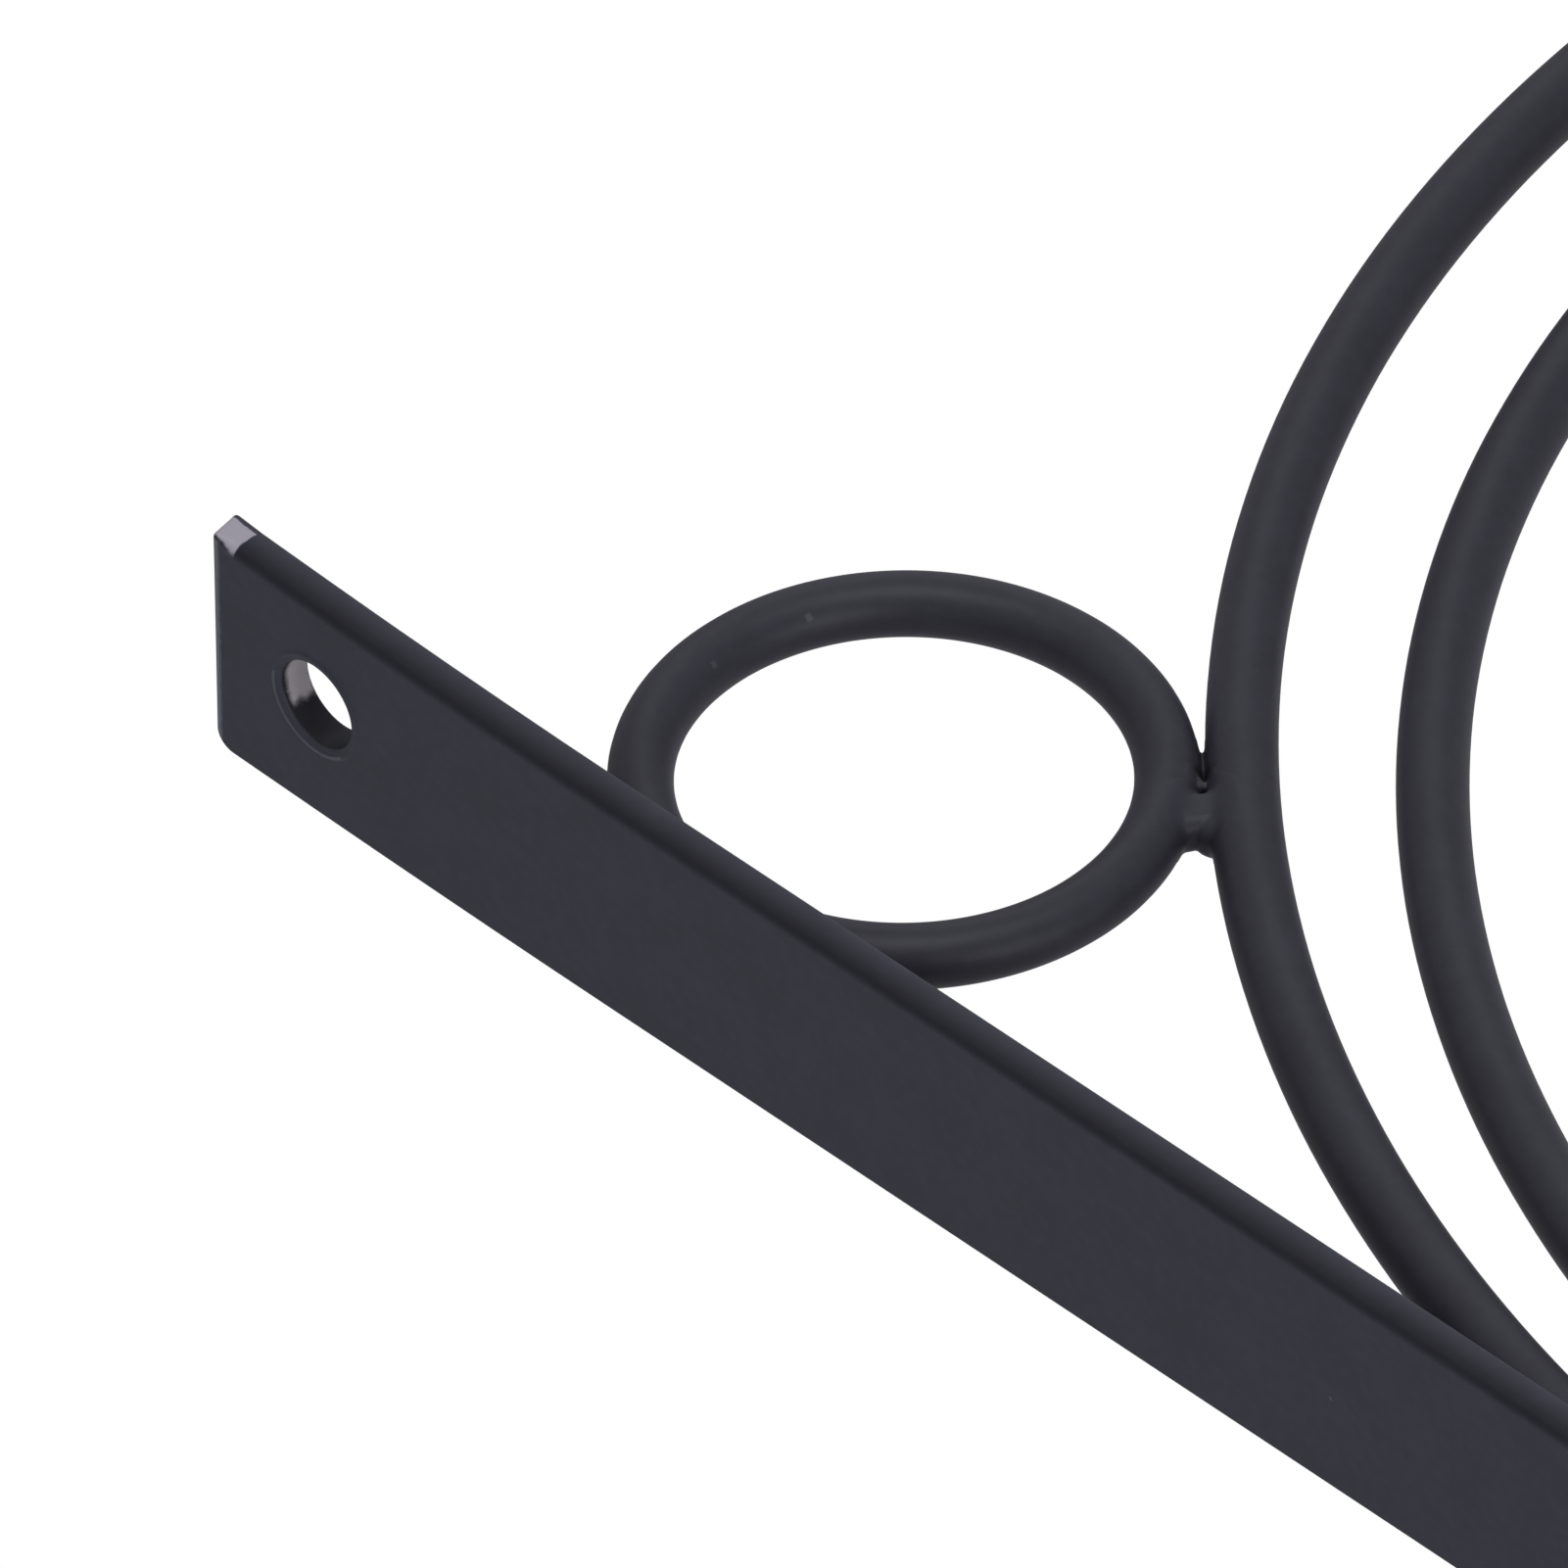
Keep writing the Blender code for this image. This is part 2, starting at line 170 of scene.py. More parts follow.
class Tree:
    """A node tree that nodes are added to: geometry, a shader group, a material or a world."""

    def __init__(self, data: bpy.types.NodeTree) -> None:
        """Keeps the tree."""
        self.data = data

    def link(self, source: Field, target: bpy.types.NodeSocket) -> None:
        """Links a field to a node's input."""
        self.data.links.new(source.socket, target)

    def node(self, kind: str, inputs: dict, settings: Optional[dict] = None) -> bpy.types.Node:
        """Adds a node.

        Args:
            kind: Blender's name for the node's type.
            inputs: A field or a plain value for each input, by the input's name or number.
            settings: The node's own settings, by name.

        Returns:
            The node.
        """
        made = self.data.nodes.new(kind)
        for name, value in (settings or {}).items():
            setattr(made, name, value)
        for name, value in inputs.items():
            if isinstance(value, Field):
                self.link(value, made.inputs[name])
            else:
                made.inputs[name].default_value = value
        return made

    def field(
        self, kind: str, inputs: dict, result: Union[str, int] = 0, settings: Optional[dict] = None
    ) -> Field:
        """Adds a node and gives one of its outputs.

        Args:
            kind: Blender's name for the node's type.
            inputs: As for node().
            result: The output's name or number.
            settings: As for node().

        Returns:
            The output.
        """
        return Field(self, self.node(kind, inputs, settings).outputs[result])

    def math(self, operation: str, *values: Amount) -> Field:
        """Adds a math node.

        Args:
            operation: Blender's name for the operation.
            values: Its inputs, in order.

        Returns:
            Its result.
        """
        return self.field("ShaderNodeMath", dict(enumerate(values)), 0, {"operation": operation})

    def vector(self, x: Amount, y: Amount, z: Amount) -> Field:
        """A vector from three values."""
        return self.field("ShaderNodeCombineXYZ", {"X": x, "Y": y, "Z": z})

    def parts(self, vector: Field) -> tuple[Field, Field, Field]:
        """The three values of a vector."""
        split = self.node("ShaderNodeSeparateXYZ", {"Vector": vector})
        return tuple(Field(self, socket) for socket in split.outputs)

    def dot(self, one: Field, other: Union[Field, Sequence[float]]) -> Field:
        """Dot product of two vectors."""
        inputs = {0: one, 1: other if isinstance(other, Field) else tuple(other)}
        return self.field("ShaderNodeVectorMath", inputs, "Value", {"operation": "DOT_PRODUCT"})

    def plus(self, one: Field, other: Field) -> Field:
        """Sum of two vectors."""
        return self.field("ShaderNodeVectorMath", {0: one, 1: other}, "Vector", {"operation": "ADD"})

    def minus(self, one: Field, other: Field) -> Field:
        """Difference of two vectors."""
        return self.field("ShaderNodeVectorMath", {0: one, 1: other}, "Vector", {"operation": "SUBTRACT"})

    def scaled(self, vector: Field, factor: Amount) -> Field:
        """A vector made longer or shorter."""
        inputs = {0: vector, "Scale": factor}
        return self.field("ShaderNodeVectorMath", inputs, "Vector", {"operation": "SCALE"})

    def ramp(self, value: Amount, low: Amount, high: Amount) -> Field:
        """A smooth step from 0 at low to 1 at high."""
        inputs = {"Value": value, "From Min": low, "From Max": high, "To Min": 0.0, "To Max": 1.0}
        return self.field("ShaderNodeMapRange", inputs, 0, {"interpolation_type": "SMOOTHSTEP"})

    def noise(self, vector: Field, scale: Amount, detail: float, roughness: float) -> Field:
        """Soft noise between 0 and 1."""
        inputs = {"Vector": vector, "Scale": scale, "Detail": detail, "Roughness": roughness}
        return self.field("ShaderNodeTexNoise", inputs, 0, {"noise_dimensions": "3D"})

    # The mix node gives each data type inputs of its own under the same names, so they go by number.

    def mix(self, mask: Field, under: Amount, over: Amount) -> Field:
        """One value, or another where a mask is 1."""
        return self.field("ShaderNodeMix", {0: mask, 2: under, 3: over}, 0, {"data_type": "FLOAT"})

    def mix_colour(self, mask: Field, under: Union[Colour, Field], over: Colour) -> Field:
        """One colour, or another where a mask is 1."""
        below = under if isinstance(under, Field) else (*under, 1.0)
        return self.field("ShaderNodeMix", {0: mask, 6: below, 7: (*over, 1.0)}, 2, {"data_type": "RGBA"})


class Group(Tree):
    """A node tree with named inputs and outputs, which makes geometry or is a shader group."""

    def __init__(self, name: str, kind: TreeKind) -> None:
        """Makes an empty tree.

        Args:
            name: The tree's name.
            kind: Whether it makes geometry or is a shader group.
        """
        super().__init__(bpy.data.node_groups.new(name, kind.value))
        self.entry = self.data.nodes.new("NodeGroupInput")
        self.exit = self.data.nodes.new("NodeGroupOutput")
        self.values: dict = {}

    def input(self, name: str, socket: Socket, value: Optional[object] = None) -> Field:
        """Adds a named input to the tree.

        Args:
            name: The input's name.
            socket: Its type.
            value: The value that it has when the tree is run.

        Returns:
            The input, ready to be used inside the tree.
        """
        self.data.interface.new_socket(name=name, in_out="INPUT", socket_type=socket.value)
        if value is not None:
            self.values[name] = value
        return Field(self, self.entry.outputs[name])

    def output(self, name: str, socket: Socket, source: Field) -> None:
        """Adds a named output to the tree.

        Args:
            name: The output's name.
            socket: Its type.
            source: What it gives out.
        """
        self.data.interface.new_socket(name=name, in_out="OUTPUT", socket_type=socket.value)
        self.link(source, self.exit.inputs[name])


def clamped(value: float) -> float:
    """A value held between 0 and 1."""
    return min(max(value, 0.0), 1.0)


def across_by(distance: float) -> Vector:
    """A step across the wall bar."""
    return Vector((0.0, distance, 0.0))


def new_piece(name: str, mesh: bpy.types.Mesh, coat: bpy.types.Material) -> bpy.types.Object:
    """Puts a finished mesh in the scene.

    Args:
        name: The piece's name.
        mesh: Its mesh, with its place already in it.
        coat: Its material.

    Returns:
        The piece, at the origin.
    """
    mesh.name = name
    if not mesh.materials:
        mesh.materials.append(coat)
    piece = bpy.data.objects.new(name, mesh)
    bpy.context.scene.collection.objects.link(piece)
    return piece


def run_tree(tree: Group, start: Optional[bpy.types.ID] = None) -> bpy.types.Mesh:
    """Runs a Geometry Nodes tree once and takes its result as a plain mesh.

    Args:
        tree: The tree, with the values of its named inputs.
        start: The mesh or curve that the tree starts from, where it needs one.

    Returns:
        The mesh, with its faces turned outwards.
    """
    base = bpy.data.objects.new(tree.data.name, start or bpy.data.meshes.new(tree.data.name))
    bpy.context.scene.collection.objects.link(base)
    modifier = base.modifiers.new(tree.data.name, "NODES")
    modifier.node_group = tree.data
    for item in tree.data.interface.items_tree:
        if item.in_out == "INPUT" and item.name in tree.values:
            modifier[item.identifier] = tree.values[item.name]
    base.update_tag()
    bpy.context.view_layer.update()
    graph = bpy.context.evaluated_depsgraph_get()
    mesh = bpy.data.meshes.new_from_object(base.evaluated_get(graph))
    base.modifiers.remove(modifier)
    bpy.data.objects.remove(base, do_unlink=True)
    turn_outwards(mesh)
    return mesh


def turn_outwards(mesh: bpy.types.Mesh) -> None:
    """Recalculates a closed mesh's normals so that its faces point outwards."""
    bm = bmesh.new()
    bm.from_mesh(mesh)
    bmesh.ops.recalc_face_normals(bm, faces=bm.faces)
    bm.to_mesh(mesh)
    bm.free()


def dress(piece: bpy.types.Object, slot: str, nodes: Sequence[str] = ()) -> None:
    """Fastens a piece to the frame.

    Args:
        piece: The piece.
        slot: The record's material slot that it takes its finish from.
        nodes: The frame's nodes that it stands for.
    """
    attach(piece, ROOT_BODY)
    if nodes:
        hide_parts(*nodes)
    faces = len(piece.data.polygons)
    LOG.info("%s: %d faces, slot %s, for %s", piece.name, faces, slot, ", ".join(nodes) or "no node")


@dataclass(frozen=True)
class CoatTexture:
    """Shader group: the skin of baked powder, as orange peel, fine grain and slow mottling."""

    name: str = "powder skin"
    mottle_share: float = 0.45
    peel_share: float = 0.30
    grain_share: float = 0.25
    mottle_low: float = 0.36
    mottle_high: float = 0.64

    def build(self) -> bpy.types.NodeTree:
        """Builds the group once.

        Returns:
            The group, which gives out a height, the grain and a mottling between 0 and 1.
        """
        tree = Group(self.name, TreeKind.SHADER)
        place = tree.input("Place", Socket.VECTOR)
        peel_scale = tree.input("Peel per metre", Socket.VALUE)
        grain_scale = tree.input("Grain per metre", Socket.VALUE)
        mottle_scale = tree.input("Mottle per metre", Socket.VALUE)
        grain_share = tree.input("Grain share", Socket.VALUE)
        peel = tree.noise(place, peel_scale, detail=1.0, roughness=0.4)
        grain = tree.noise(place, grain_scale, detail=2.0, roughness=0.55)
        mottle = tree.noise(place, mottle_scale, detail=3.0, roughness=0.6)
        tree.output("Height", Socket.VALUE, peel + (grain - 0.5) * grain_share)
        tree.output("Grain", Socket.VALUE, grain)
        patchy = mottle * self.mottle_share + peel * self.peel_share + grain * self.grain_share
        tree.output("Mottle", Socket.VALUE, tree.ramp(patchy, self.mottle_low, self.mottle_high))
        return tree.data


@dataclass(frozen=True)
class SpeckTexture:
    """Shader group: a few pale specks of dust caught in the powder."""

    name: str = "dust specks"
    smallest: float = 0.4

    def build(self) -> bpy.types.NodeTree:
        """Builds the group once.

        Returns:
            The group, which gives out a mask that is 1 on a speck.
        """
        tree = Group(self.name, TreeKind.SHADER)
        place = tree.input("Place", Socket.VECTOR)
        cells = tree.input("Cells per metre", Socket.VALUE)
        share = tree.input("Share of cells", Socket.VALUE)
        radius = tree.input("Radius in cells", Socket.VALUE)
        inputs = {"Vector": place, "Scale": cells, "Randomness": 1.0}
        voronoi = tree.node("ShaderNodeTexVoronoi", inputs, {"feature": "F1"})
        distance = Field(tree, voronoi.outputs["Distance"])
        lot, spread, _ = tree.parts(Field(tree, voronoi.outputs["Color"]))
        chosen = tree.math("LESS_THAN", lot, share)
        reach = radius * (self.smallest + (1.0 - self.smallest) * spread)
        tree.output("Mask", Socket.VALUE, chosen * (1.0 - tree.ramp(distance, reach * 0.5, reach)))
        return tree.data


@dataclass(frozen=True)
class PatchMask:
    """Shader group: a box in the piece's own space with an uneven border."""

    name: str = "bare patch"
    uneven_per_metre: float = 1100.0

    def build(self) -> bpy.types.NodeTree:
        """Builds the group once.

        Returns:
            The group, which gives out a mask that is 1 inside the box.
        """
        tree = Group(self.name, TreeKind.SHADER)
        place = tree.input("Place", Socket.VECTOR)
        middle = tree.input("Middle", Socket.VECTOR)
        half = tree.input("Half size", Socket.VECTOR)
        fade = tree.input("Fade", Socket.VALUE)
        uneven = tree.input("Unevenness", Socket.VALUE)
        shift = (tree.noise(place, self.uneven_per_metre, detail=2.0, roughness=0.6) - 0.5) * uneven
        inside: Optional[Field] = None
        for offset, reach in zip(tree.parts(tree.minus(place, middle)), tree.parts(half)):
            side = 1.0 - tree.ramp(offset.size() + shift - reach, fade * -0.5, fade * 0.5)
            inside = side if inside is None else inside * side
        tree.output("Mask", Socket.VALUE, inside)
        return tree.data


@dataclass(frozen=True)
class DomeStrength:
    """Shader group: an even light from all round that swells softly towards one direction."""

    name: str = "soft dome"

    def build(self) -> bpy.types.NodeTree:
        """Builds the group once.

        Returns:
            The group, which gives out the surroundings' strength in a direction.
        """
        tree = Group(self.name, TreeKind.SHADER)
        place = tree.input("Place", Socket.VECTOR)
        towards = tree.input("Towards", Socket.VECTOR)
        even = tree.input("Even", Socket.VALUE)
        swell = tree.input("Swell", Socket.VALUE)
        facing = tree.dot(place, towards).at_least(0.0)
        tree.output("Strength", Socket.VALUE, even + facing * facing * swell)
        return tree.data


@dataclass
class Textures:
    """The shader groups that the materials share."""

    skin: bpy.types.NodeTree
    specks: bpy.types.NodeTree
    patch: bpy.types.NodeTree

    @classmethod
    def build(cls) -> "Textures":
        """Builds every group."""
        return cls(CoatTexture().build(), SpeckTexture().build(), PatchMask().build())


@dataclass(frozen=True)
class ColourPatch:
    """A place where the surface differs from the coat: bare steel, a dust speck, a painted highlight or
    reflection, or painted shade in a crevice.
    """

    middle: Place
    half: Place
    colour: Colour
    roughness: float = 0.5
    gloss: float = 0.5
    fade: float = 0.25 * MM
    uneven: float = 0.5 * MM

    def mask(self, tree: Tree, textures: Textures, place: Field) -> Field:
        """Adds the patch's mask to a material.

        Args:
            tree: The material's tree.
            textures: The shader groups.
            place: The piece's own coordinates.

        Returns:
            A mask that is 1 on the patch.
        """
        inputs = {
            "Place": place,
            "Middle": self.middle,
            "Half size": self.half,
            "Fade": self.fade,
            "Unevenness": self.uneven,
        }
        return tree.field("ShaderNodeGroup", inputs, "Mask", {"node_tree": textures.patch})


@dataclass(frozen=True)
class PowderCoat:
    """Satin black powder coat over steel, a little blue."""

    name: str
    colour: Colour = (0.0336, 0.0318, 0.0416)
    mottle_colour: Colour = (0.0424, 0.0402, 0.0524)
    speck_colour: Colour = (0.16, 0.155, 0.15)
    # Painted shade: the darker colour and lower gloss that the edge attribute mixes in along edges and down
    # holes.
    painted_shade_colour: Colour = (0.015, 0.0145, 0.019)
    gloss: float = 0.5
    painted_shade_gloss: float = 0.2
    roughness: float = 0.50
    roughness_spread: float = 0.08
    peel_per_metre: float = 900.0
    grain_per_metre: float = 5200.0
    mottle_per_metre: float = 160.0
    grain_share: float = 0.35
    bump_height: float = 0.012 * MM
    speck_cells_per_metre: float = 130.0
    speck_share: float = 0.10
    speck_radius: float = 0.045
    patches: tuple[ColourPatch, ...] = field(default_factory=tuple)

    def build(self, textures: Textures) -> bpy.types.Material:
        """Builds the material.

        Args:
            textures: The shader groups that it uses.

        Returns:
            The material.
        """
        material = bpy.data.materials.new(self.name)
        material.use_nodes = True
        tree = Tree(material.node_tree)
        place = tree.field("ShaderNodeTexCoord", {}, "Object")
        skin_inputs = {
            "Place": place,
            "Peel per metre": self.peel_per_metre,
            "Grain per metre": self.grain_per_metre,
            "Mottle per metre": self.mottle_per_metre,
            "Grain share": self.grain_share,
        }
        skin = tree.node("ShaderNodeGroup", skin_inputs, {"node_tree": textures.skin})
        height, grain, mottle = (Field(tree, skin.outputs[name]) for name in ("Height", "Grain", "Mottle"))
        speck_inputs = {
            "Place": place,
            "Cells per metre": self.speck_cells_per_metre,
            "Share of cells": self.speck_share,
            "Radius in cells": self.speck_radius,
        }
        specks = tree.field("ShaderNodeGroup", speck_inputs, "Mask", {"node_tree": textures.specks})
        # Painted shade from the edges' attribute: darker colour and less gloss.
        edge = tree.field("ShaderNodeAttribute", {}, "Fac", {"attribute_name": PAINTED_SHADE_ATTRIBUTE})

        colour = tree.mix_colour(mottle, self.colour, self.mottle_colour)
        colour = tree.mix_colour(specks, colour, self.speck_colour)
        colour = tree.mix_colour(edge, colour, self.painted_shade_colour)
        gloss = tree.mix(edge, self.gloss, self.painted_shade_gloss)
        smoothest = self.roughness - self.roughness_spread / 2.0
        roughness = tree.math("MULTIPLY_ADD", grain, self.roughness_spread, smoothest)
        # The patches hold bare steel, dust specks, painted highlights and reflections, and painted shade.
        for bare in self.patches:
            mask = bare.mask(tree, textures, place)
            colour = tree.mix_colour(mask, colour, bare.colour)
            roughness = tree.mix(mask, roughness, bare.roughness)
            gloss = tree.mix(mask, gloss, bare.gloss)
        bump = {"Strength": 1.0, "Distance": self.bump_height, "Height": height}
        looks = {
            "Base Color": colour,
            "Roughness": roughness,
            "Specular IOR Level": gloss,
            "Normal": tree.field("ShaderNodeBump", bump, "Normal"),
        }
        shader = tree.data.nodes["Principled BSDF"]
        for name, source in looks.items():
            tree.link(source, shader.inputs[name])
        return material


@dataclass(frozen=True)
class Ring:
    """A ring of round rod in the plane Y = 0, a little out of round, and the tree that bends it."""

    centre: Point
    radius: float
    rod: float
    unevenness: float = 0.0
    swells: int = 3
    steps: int = 384
    sides: int = 40
    waver: float = 0.006
    waver_per_metre: float = 45.0

    def line(self, count: int) -> np.ndarray:
        """Centre line as (x, z) rows. Angle 0 points up and a quarter turn points out of the wall."""
        angles = np.linspace(0.0, TURN, count, endpoint=False)
        radii = self.radius * (1.0 - self.unevenness * np.sin(self.swells * angles))
        return np.array(self.centre) + np.stack([radii * np.sin(angles), radii * np.cos(angles)], axis=1)

    def gap(self, point: Point) -> float:
        """Distance from a point to the centre line."""
        return float(np.linalg.norm(self.line(LINE_SAMPLES) - np.array(point), axis=1).min())

    def nearest(self, point: Point) -> Point:
        """The centre line's nearest point to another point."""
        line = self.line(LINE_SAMPLES)
        row = line[int(np.linalg.norm(line - np.array(point), axis=1).argmin())]
        return (float(row[0]), float(row[1]))

    def skin_point(self, angle: float, tilt: float) -> Vector:
        """A point on the rod's skin, at an angle round the ring and one round the rod, in degrees."""
        around, tilt = math.radians(angle), math.radians(tilt)
        reach = self.radius + self.rod * math.cos(tilt)
        x, z = self.centre
        return Vector((x + reach * math.sin(around), self.rod * math.sin(tilt), z + reach * math.cos(around)))

    def mesh(self, name: str, coat: bpy.types.Material) -> bpy.types.Mesh:
        """Bends the rod.

        Args:
            name: The tree's name.
            coat: The ring's material.

        Returns:
            The ring's mesh.
        """
        tree = Group(name, TreeKind.GEOMETRY)
        centre = tree.input("Centre", Socket.VECTOR, (self.centre[0], 0.0, self.centre[1]))
        radius = tree.input("Radius", Socket.VALUE, self.radius)
        unevenness = tree.input("Unevenness", Socket.VALUE, self.unevenness)
        swells = tree.input("Swells", Socket.VALUE, float(self.swells))
        rod = tree.input("Rod radius", Socket.VALUE, self.rod)
        steps = tree.input("Steps", Socket.COUNT, self.steps)
        sides = tree.input("Sides", Socket.COUNT, self.sides)
        waver = tree.input("Waver", Socket.VALUE, self.waver)
        waver_scale = tree.input("Waver per metre", Socket.VALUE, self.waver_per_metre)

        circle = tree.field("GeometryNodeCurvePrimitiveCircle", {"Resolution": steps}, "Curve")
        index = tree.field("GeometryNodeInputIndex", {})
        angle = index * TURN / steps
        reach = radius * (1.0 - unevenness * (angle * swells).sin())
        offset = tree.vector(reach * angle.sin(), 0.0, reach * angle.cos())
        place = tree.plus(centre, offset)
        bent = tree.field("GeometryNodeSetPosition", {"Geometry": circle, "Position": place})
        where = tree.field("GeometryNodeInputPosition", {})
        swell = 1.0 + (tree.noise(where, waver_scale, detail=2.0, roughness=0.5) - 0.5) * 2.0 * waver
        finish_geometry(tree, sweep_rod(tree, bent, rod, sides, swell), coat)
        return run_tree(tree)


def sweep_rod(
    tree: Group, path: Field, rod: Field, sides: Field, thickness: Field, capped: bool = False
) -> Field:
    """Sweeps a round rod along a path.

    Args:
        tree: The tree that makes the rod.
        path: The centre line, as a curve.
        rod: The rod's radius.
        sides: How many sides its section has.
        thickness: A share of the radius that it has along the path.
        capped: Whether its ends are closed.

    Returns:
        The rod's surface.
    """
    section = tree.field("GeometryNodeCurvePrimitiveCircle", {"Resolution": sides, "Radius": rod}, "Curve")
    inputs = {"Curve": path, "Profile Curve": section, "Scale": thickness, "Fill Caps": capped}
    return tree.field("GeometryNodeCurveToMesh", inputs)


def finish_geometry(tree: Group, geometry: Field, coat: bpy.types.Material) -> None:
    """Ends a tree: smooth faces, real geometry in place of instances, and the coat."""
    finish = tree.input("Coat", Socket.MATERIAL, coat)
    smooth = tree.field("GeometryNodeSetShadeSmooth", {"Geometry": geometry})
    real = tree.field("GeometryNodeRealizeInstances", {"Geometry": smooth})
    dressed = tree.field("GeometryNodeSetMaterial", {"Geometry": real, "Material": finish})
    tree.output("Geometry", Socket.GEOMETRY, dressed)


@dataclass(frozen=True)
class HookLine:
    """Centre line of the hook: shank, shoulder, drop, cup, and a tip that flares outwards."""

    shank_under_arm: float = 22.0 * MM
    shank_past_arm: float = 2.0 * MM
    shoulder_radius: float = 8.0 * MM
    drop: float = 10.0 * MM
    cup_radius: float = 11.0 * MM
    tip_rise: float = 8.0 * MM
    flare_radius: float = 14.0 * MM
    flare_angle: float = math.radians(28.0)
    point_spacing: float = 0.4 * MM

    def points(self, arm_end: float, shank_z: float) -> list[Point]:
        """The line's points as (x, z).

        Args:
            arm_end: Where the arm ends.
            shank_z: Height of the shank's centre line.

        Returns:
            The points, from the shank's cut end to the tip.
        """
        quarter = math.pi / 2
        bend = arm_end + self.shank_past_arm
        points = [(arm_end - self.shank_under_arm, shank_z), (bend, shank_z)]
        shoulder = (bend, shank_z - self.shoulder_radius)
        points += self._arc(shoulder, self.shoulder_radius, quarter, 0.0)
        cup = (bend + self.shoulder_radius + self.cup_radius, shoulder[1] - self.drop)
        points.append((cup[0] - self.cup_radius, cup[1]))
        points += self._arc(cup, self.cup_radius, 2 * quarter, 4 * quarter)
        tip_x = cup[0] + self.cup_radius
        points.append((tip_x, cup[1] + self.tip_rise))
        flare = (tip_x + self.flare_radius, cup[1] + self.tip_rise)
        points += self._arc(flare, self.flare_radius, math.pi, math.pi - self.flare_angle)
        return points

    def _arc(self, centre: Point, radius: float, start: float, end: float) -> list[Point]:
        """Points of an arc without its first point, angles measured from +X towards +Z."""
        steps = max(3, round(abs(end - start) * radius / self.point_spacing))
        angles = np.linspace(start, end, steps + 1)[1:]
        return [(centre[0] + radius * math.cos(a), centre[1] + radius * math.sin(a)) for a in angles]


@dataclass(frozen=True)
class Layout:
    """Where every bar, ring and joint lies, from the frame's bars and the rings' own sizes."""

    touch_gap: float = 0.3 * MM
    rod: float = 2.75 * MM
    small_rod: float = 2.5 * MM
    outer_radius: float = 133.0 * MM
    small_radius: float = 19.6 * MM
    unevenness: float = 0.012
    inner_rise: float = 5.35 * MM
    inner_setback: float = 1.41 * MM
    small_steps: int = 240
    fitting_rounds: int = 30
    sliding_rounds: int = 40
    farthest_touch: float = 1.2
    bar_face: float = field(default_factory=lambda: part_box("wall_bar")[1].x)
    bar_half_width: float = field(default_factory=lambda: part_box("wall_bar")[1].y)
    bar_half_length: float = field(default_factory=lambda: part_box("wall_bar")[1].z)

    @property
    def thickness(self) -> float:
        """Thickness of the flat bar."""
        return self.bar_face

    @property
    def outer_ring(self) -> Ring:
        """The outer ring, which touches the wall bar's front face."""
        loose = Ring((0.0, 0.0), self.outer_radius, self.rod, self.unevenness)
        middle = self.bar_face + self.touch_gap + self.rod - float(loose.line(LINE_SAMPLES)[:, 0].min())
        return Ring((middle, 0.0), self.outer_radius, self.rod, self.unevenness)

    @property
    def inner_ring(self) -> Ring:
        """The inner ring, which touches the outer ring from inside, under the arm."""
        outer = self.outer_ring
        centre = (outer.centre[0] - self.inner_setback, self.inner_rise)
        apart = 2.0 * self.rod + self.touch_gap
        radius = self.outer_radius - apart - self.inner_rise
        outer_line = outer.line(COARSE_SAMPLES)
        for _ in range(self.fitting_rounds):
            line = Ring(centre, radius, self.rod, self.unevenness).line(LINE_SAMPLES)
            gaps = np.linalg.norm(line[:, None, :] - outer_line[None, :, :], axis=2)
            radius += float(gaps.min()) - apart
        return Ring(centre, radius, self.rod, self.unevenness)

    @property
    def arm_underside(self) -> float:
        """Height of the arm's underside, which lies on the outer ring."""
        return float(self.outer_ring.line(LINE_SAMPLES)[:, 1].max()) + self.rod + self.touch_gap

    @property
    def off_bar(self) -> float:
        """Distance from a bar's face to the middle of a small ring beside it."""
        return self.touch_gap + self.small_rod + self.small_radius

    def _slide(self, place: Callable[[float], Point], near: float, far: float) -> Point:
        """Slides a small ring along a bar until it touches the outer ring."""
        outer = self.outer_ring
        reach = self.small_radius + self.small_rod + self.rod + self.touch_gap
        for _ in range(self.sliding_rounds):
            middle = 0.5 * (near + far)
            if outer.gap(place(middle)) > reach:
                near = middle
            else:
                far = middle
        return place(0.5 * (near + far))

    @property
    def wall_small_ring(self) -> Ring:
        """The small ring in the corner between the wall bar and the outer ring."""
        x = self.bar_face + self.off_bar
        centre = self._slide(lambda z: (x, z), -self.bar_half_length, -self.bar_half_length / 2)
        return Ring(centre, self.small_radius, self.small_rod, steps=self.small_steps)

    @property
    def arm_small_ring(self) -> Ring:
        """The small ring in the corner between the arm and the outer ring."""
        z = self.arm_underside - self.off_bar
        middle = self.outer_ring.centre[0]
        centre = self._slide(lambda x: (x, z), middle + self.farthest_touch * self.outer_radius, middle)
        return Ring(centre, self.small_radius, self.small_rod, steps=self.small_steps)

    def touch_point(self, small: Ring) -> tuple[Vector, Vector, Vector]:
        """Where a small ring touches the outer ring.

        Args:
            small: The small ring.

        Returns:
            The point, the direction from the small ring to the outer ring, and the crevice's direction
            towards the corner that the outer ring makes with the bar.
        """
        outer = self.outer_ring
        nearest = outer.nearest(small.centre)
        towards = Vector((nearest[0] - small.centre[0], 0.0, nearest[1] - small.centre[1])).normalized()
        reach = small.radius + small.rod + self.touch_gap / 2
        contact = Vector((small.centre[0], 0.0, small.centre[1])) + towards * reach
        along = towards.cross(ACROSS)
        return contact, towards, along if small.centre[1] < 0.0 else -along

    def spatter(self, small: Ring, height: float) -> Vector:
        """Where a grain of spatter sits in a small ring's crevice, at a height above the rods' plane."""
        contact, towards, along = self.touch_point(small)
        return contact + along * 2.1 * MM - towards * 0.4 * MM + across_by(height)


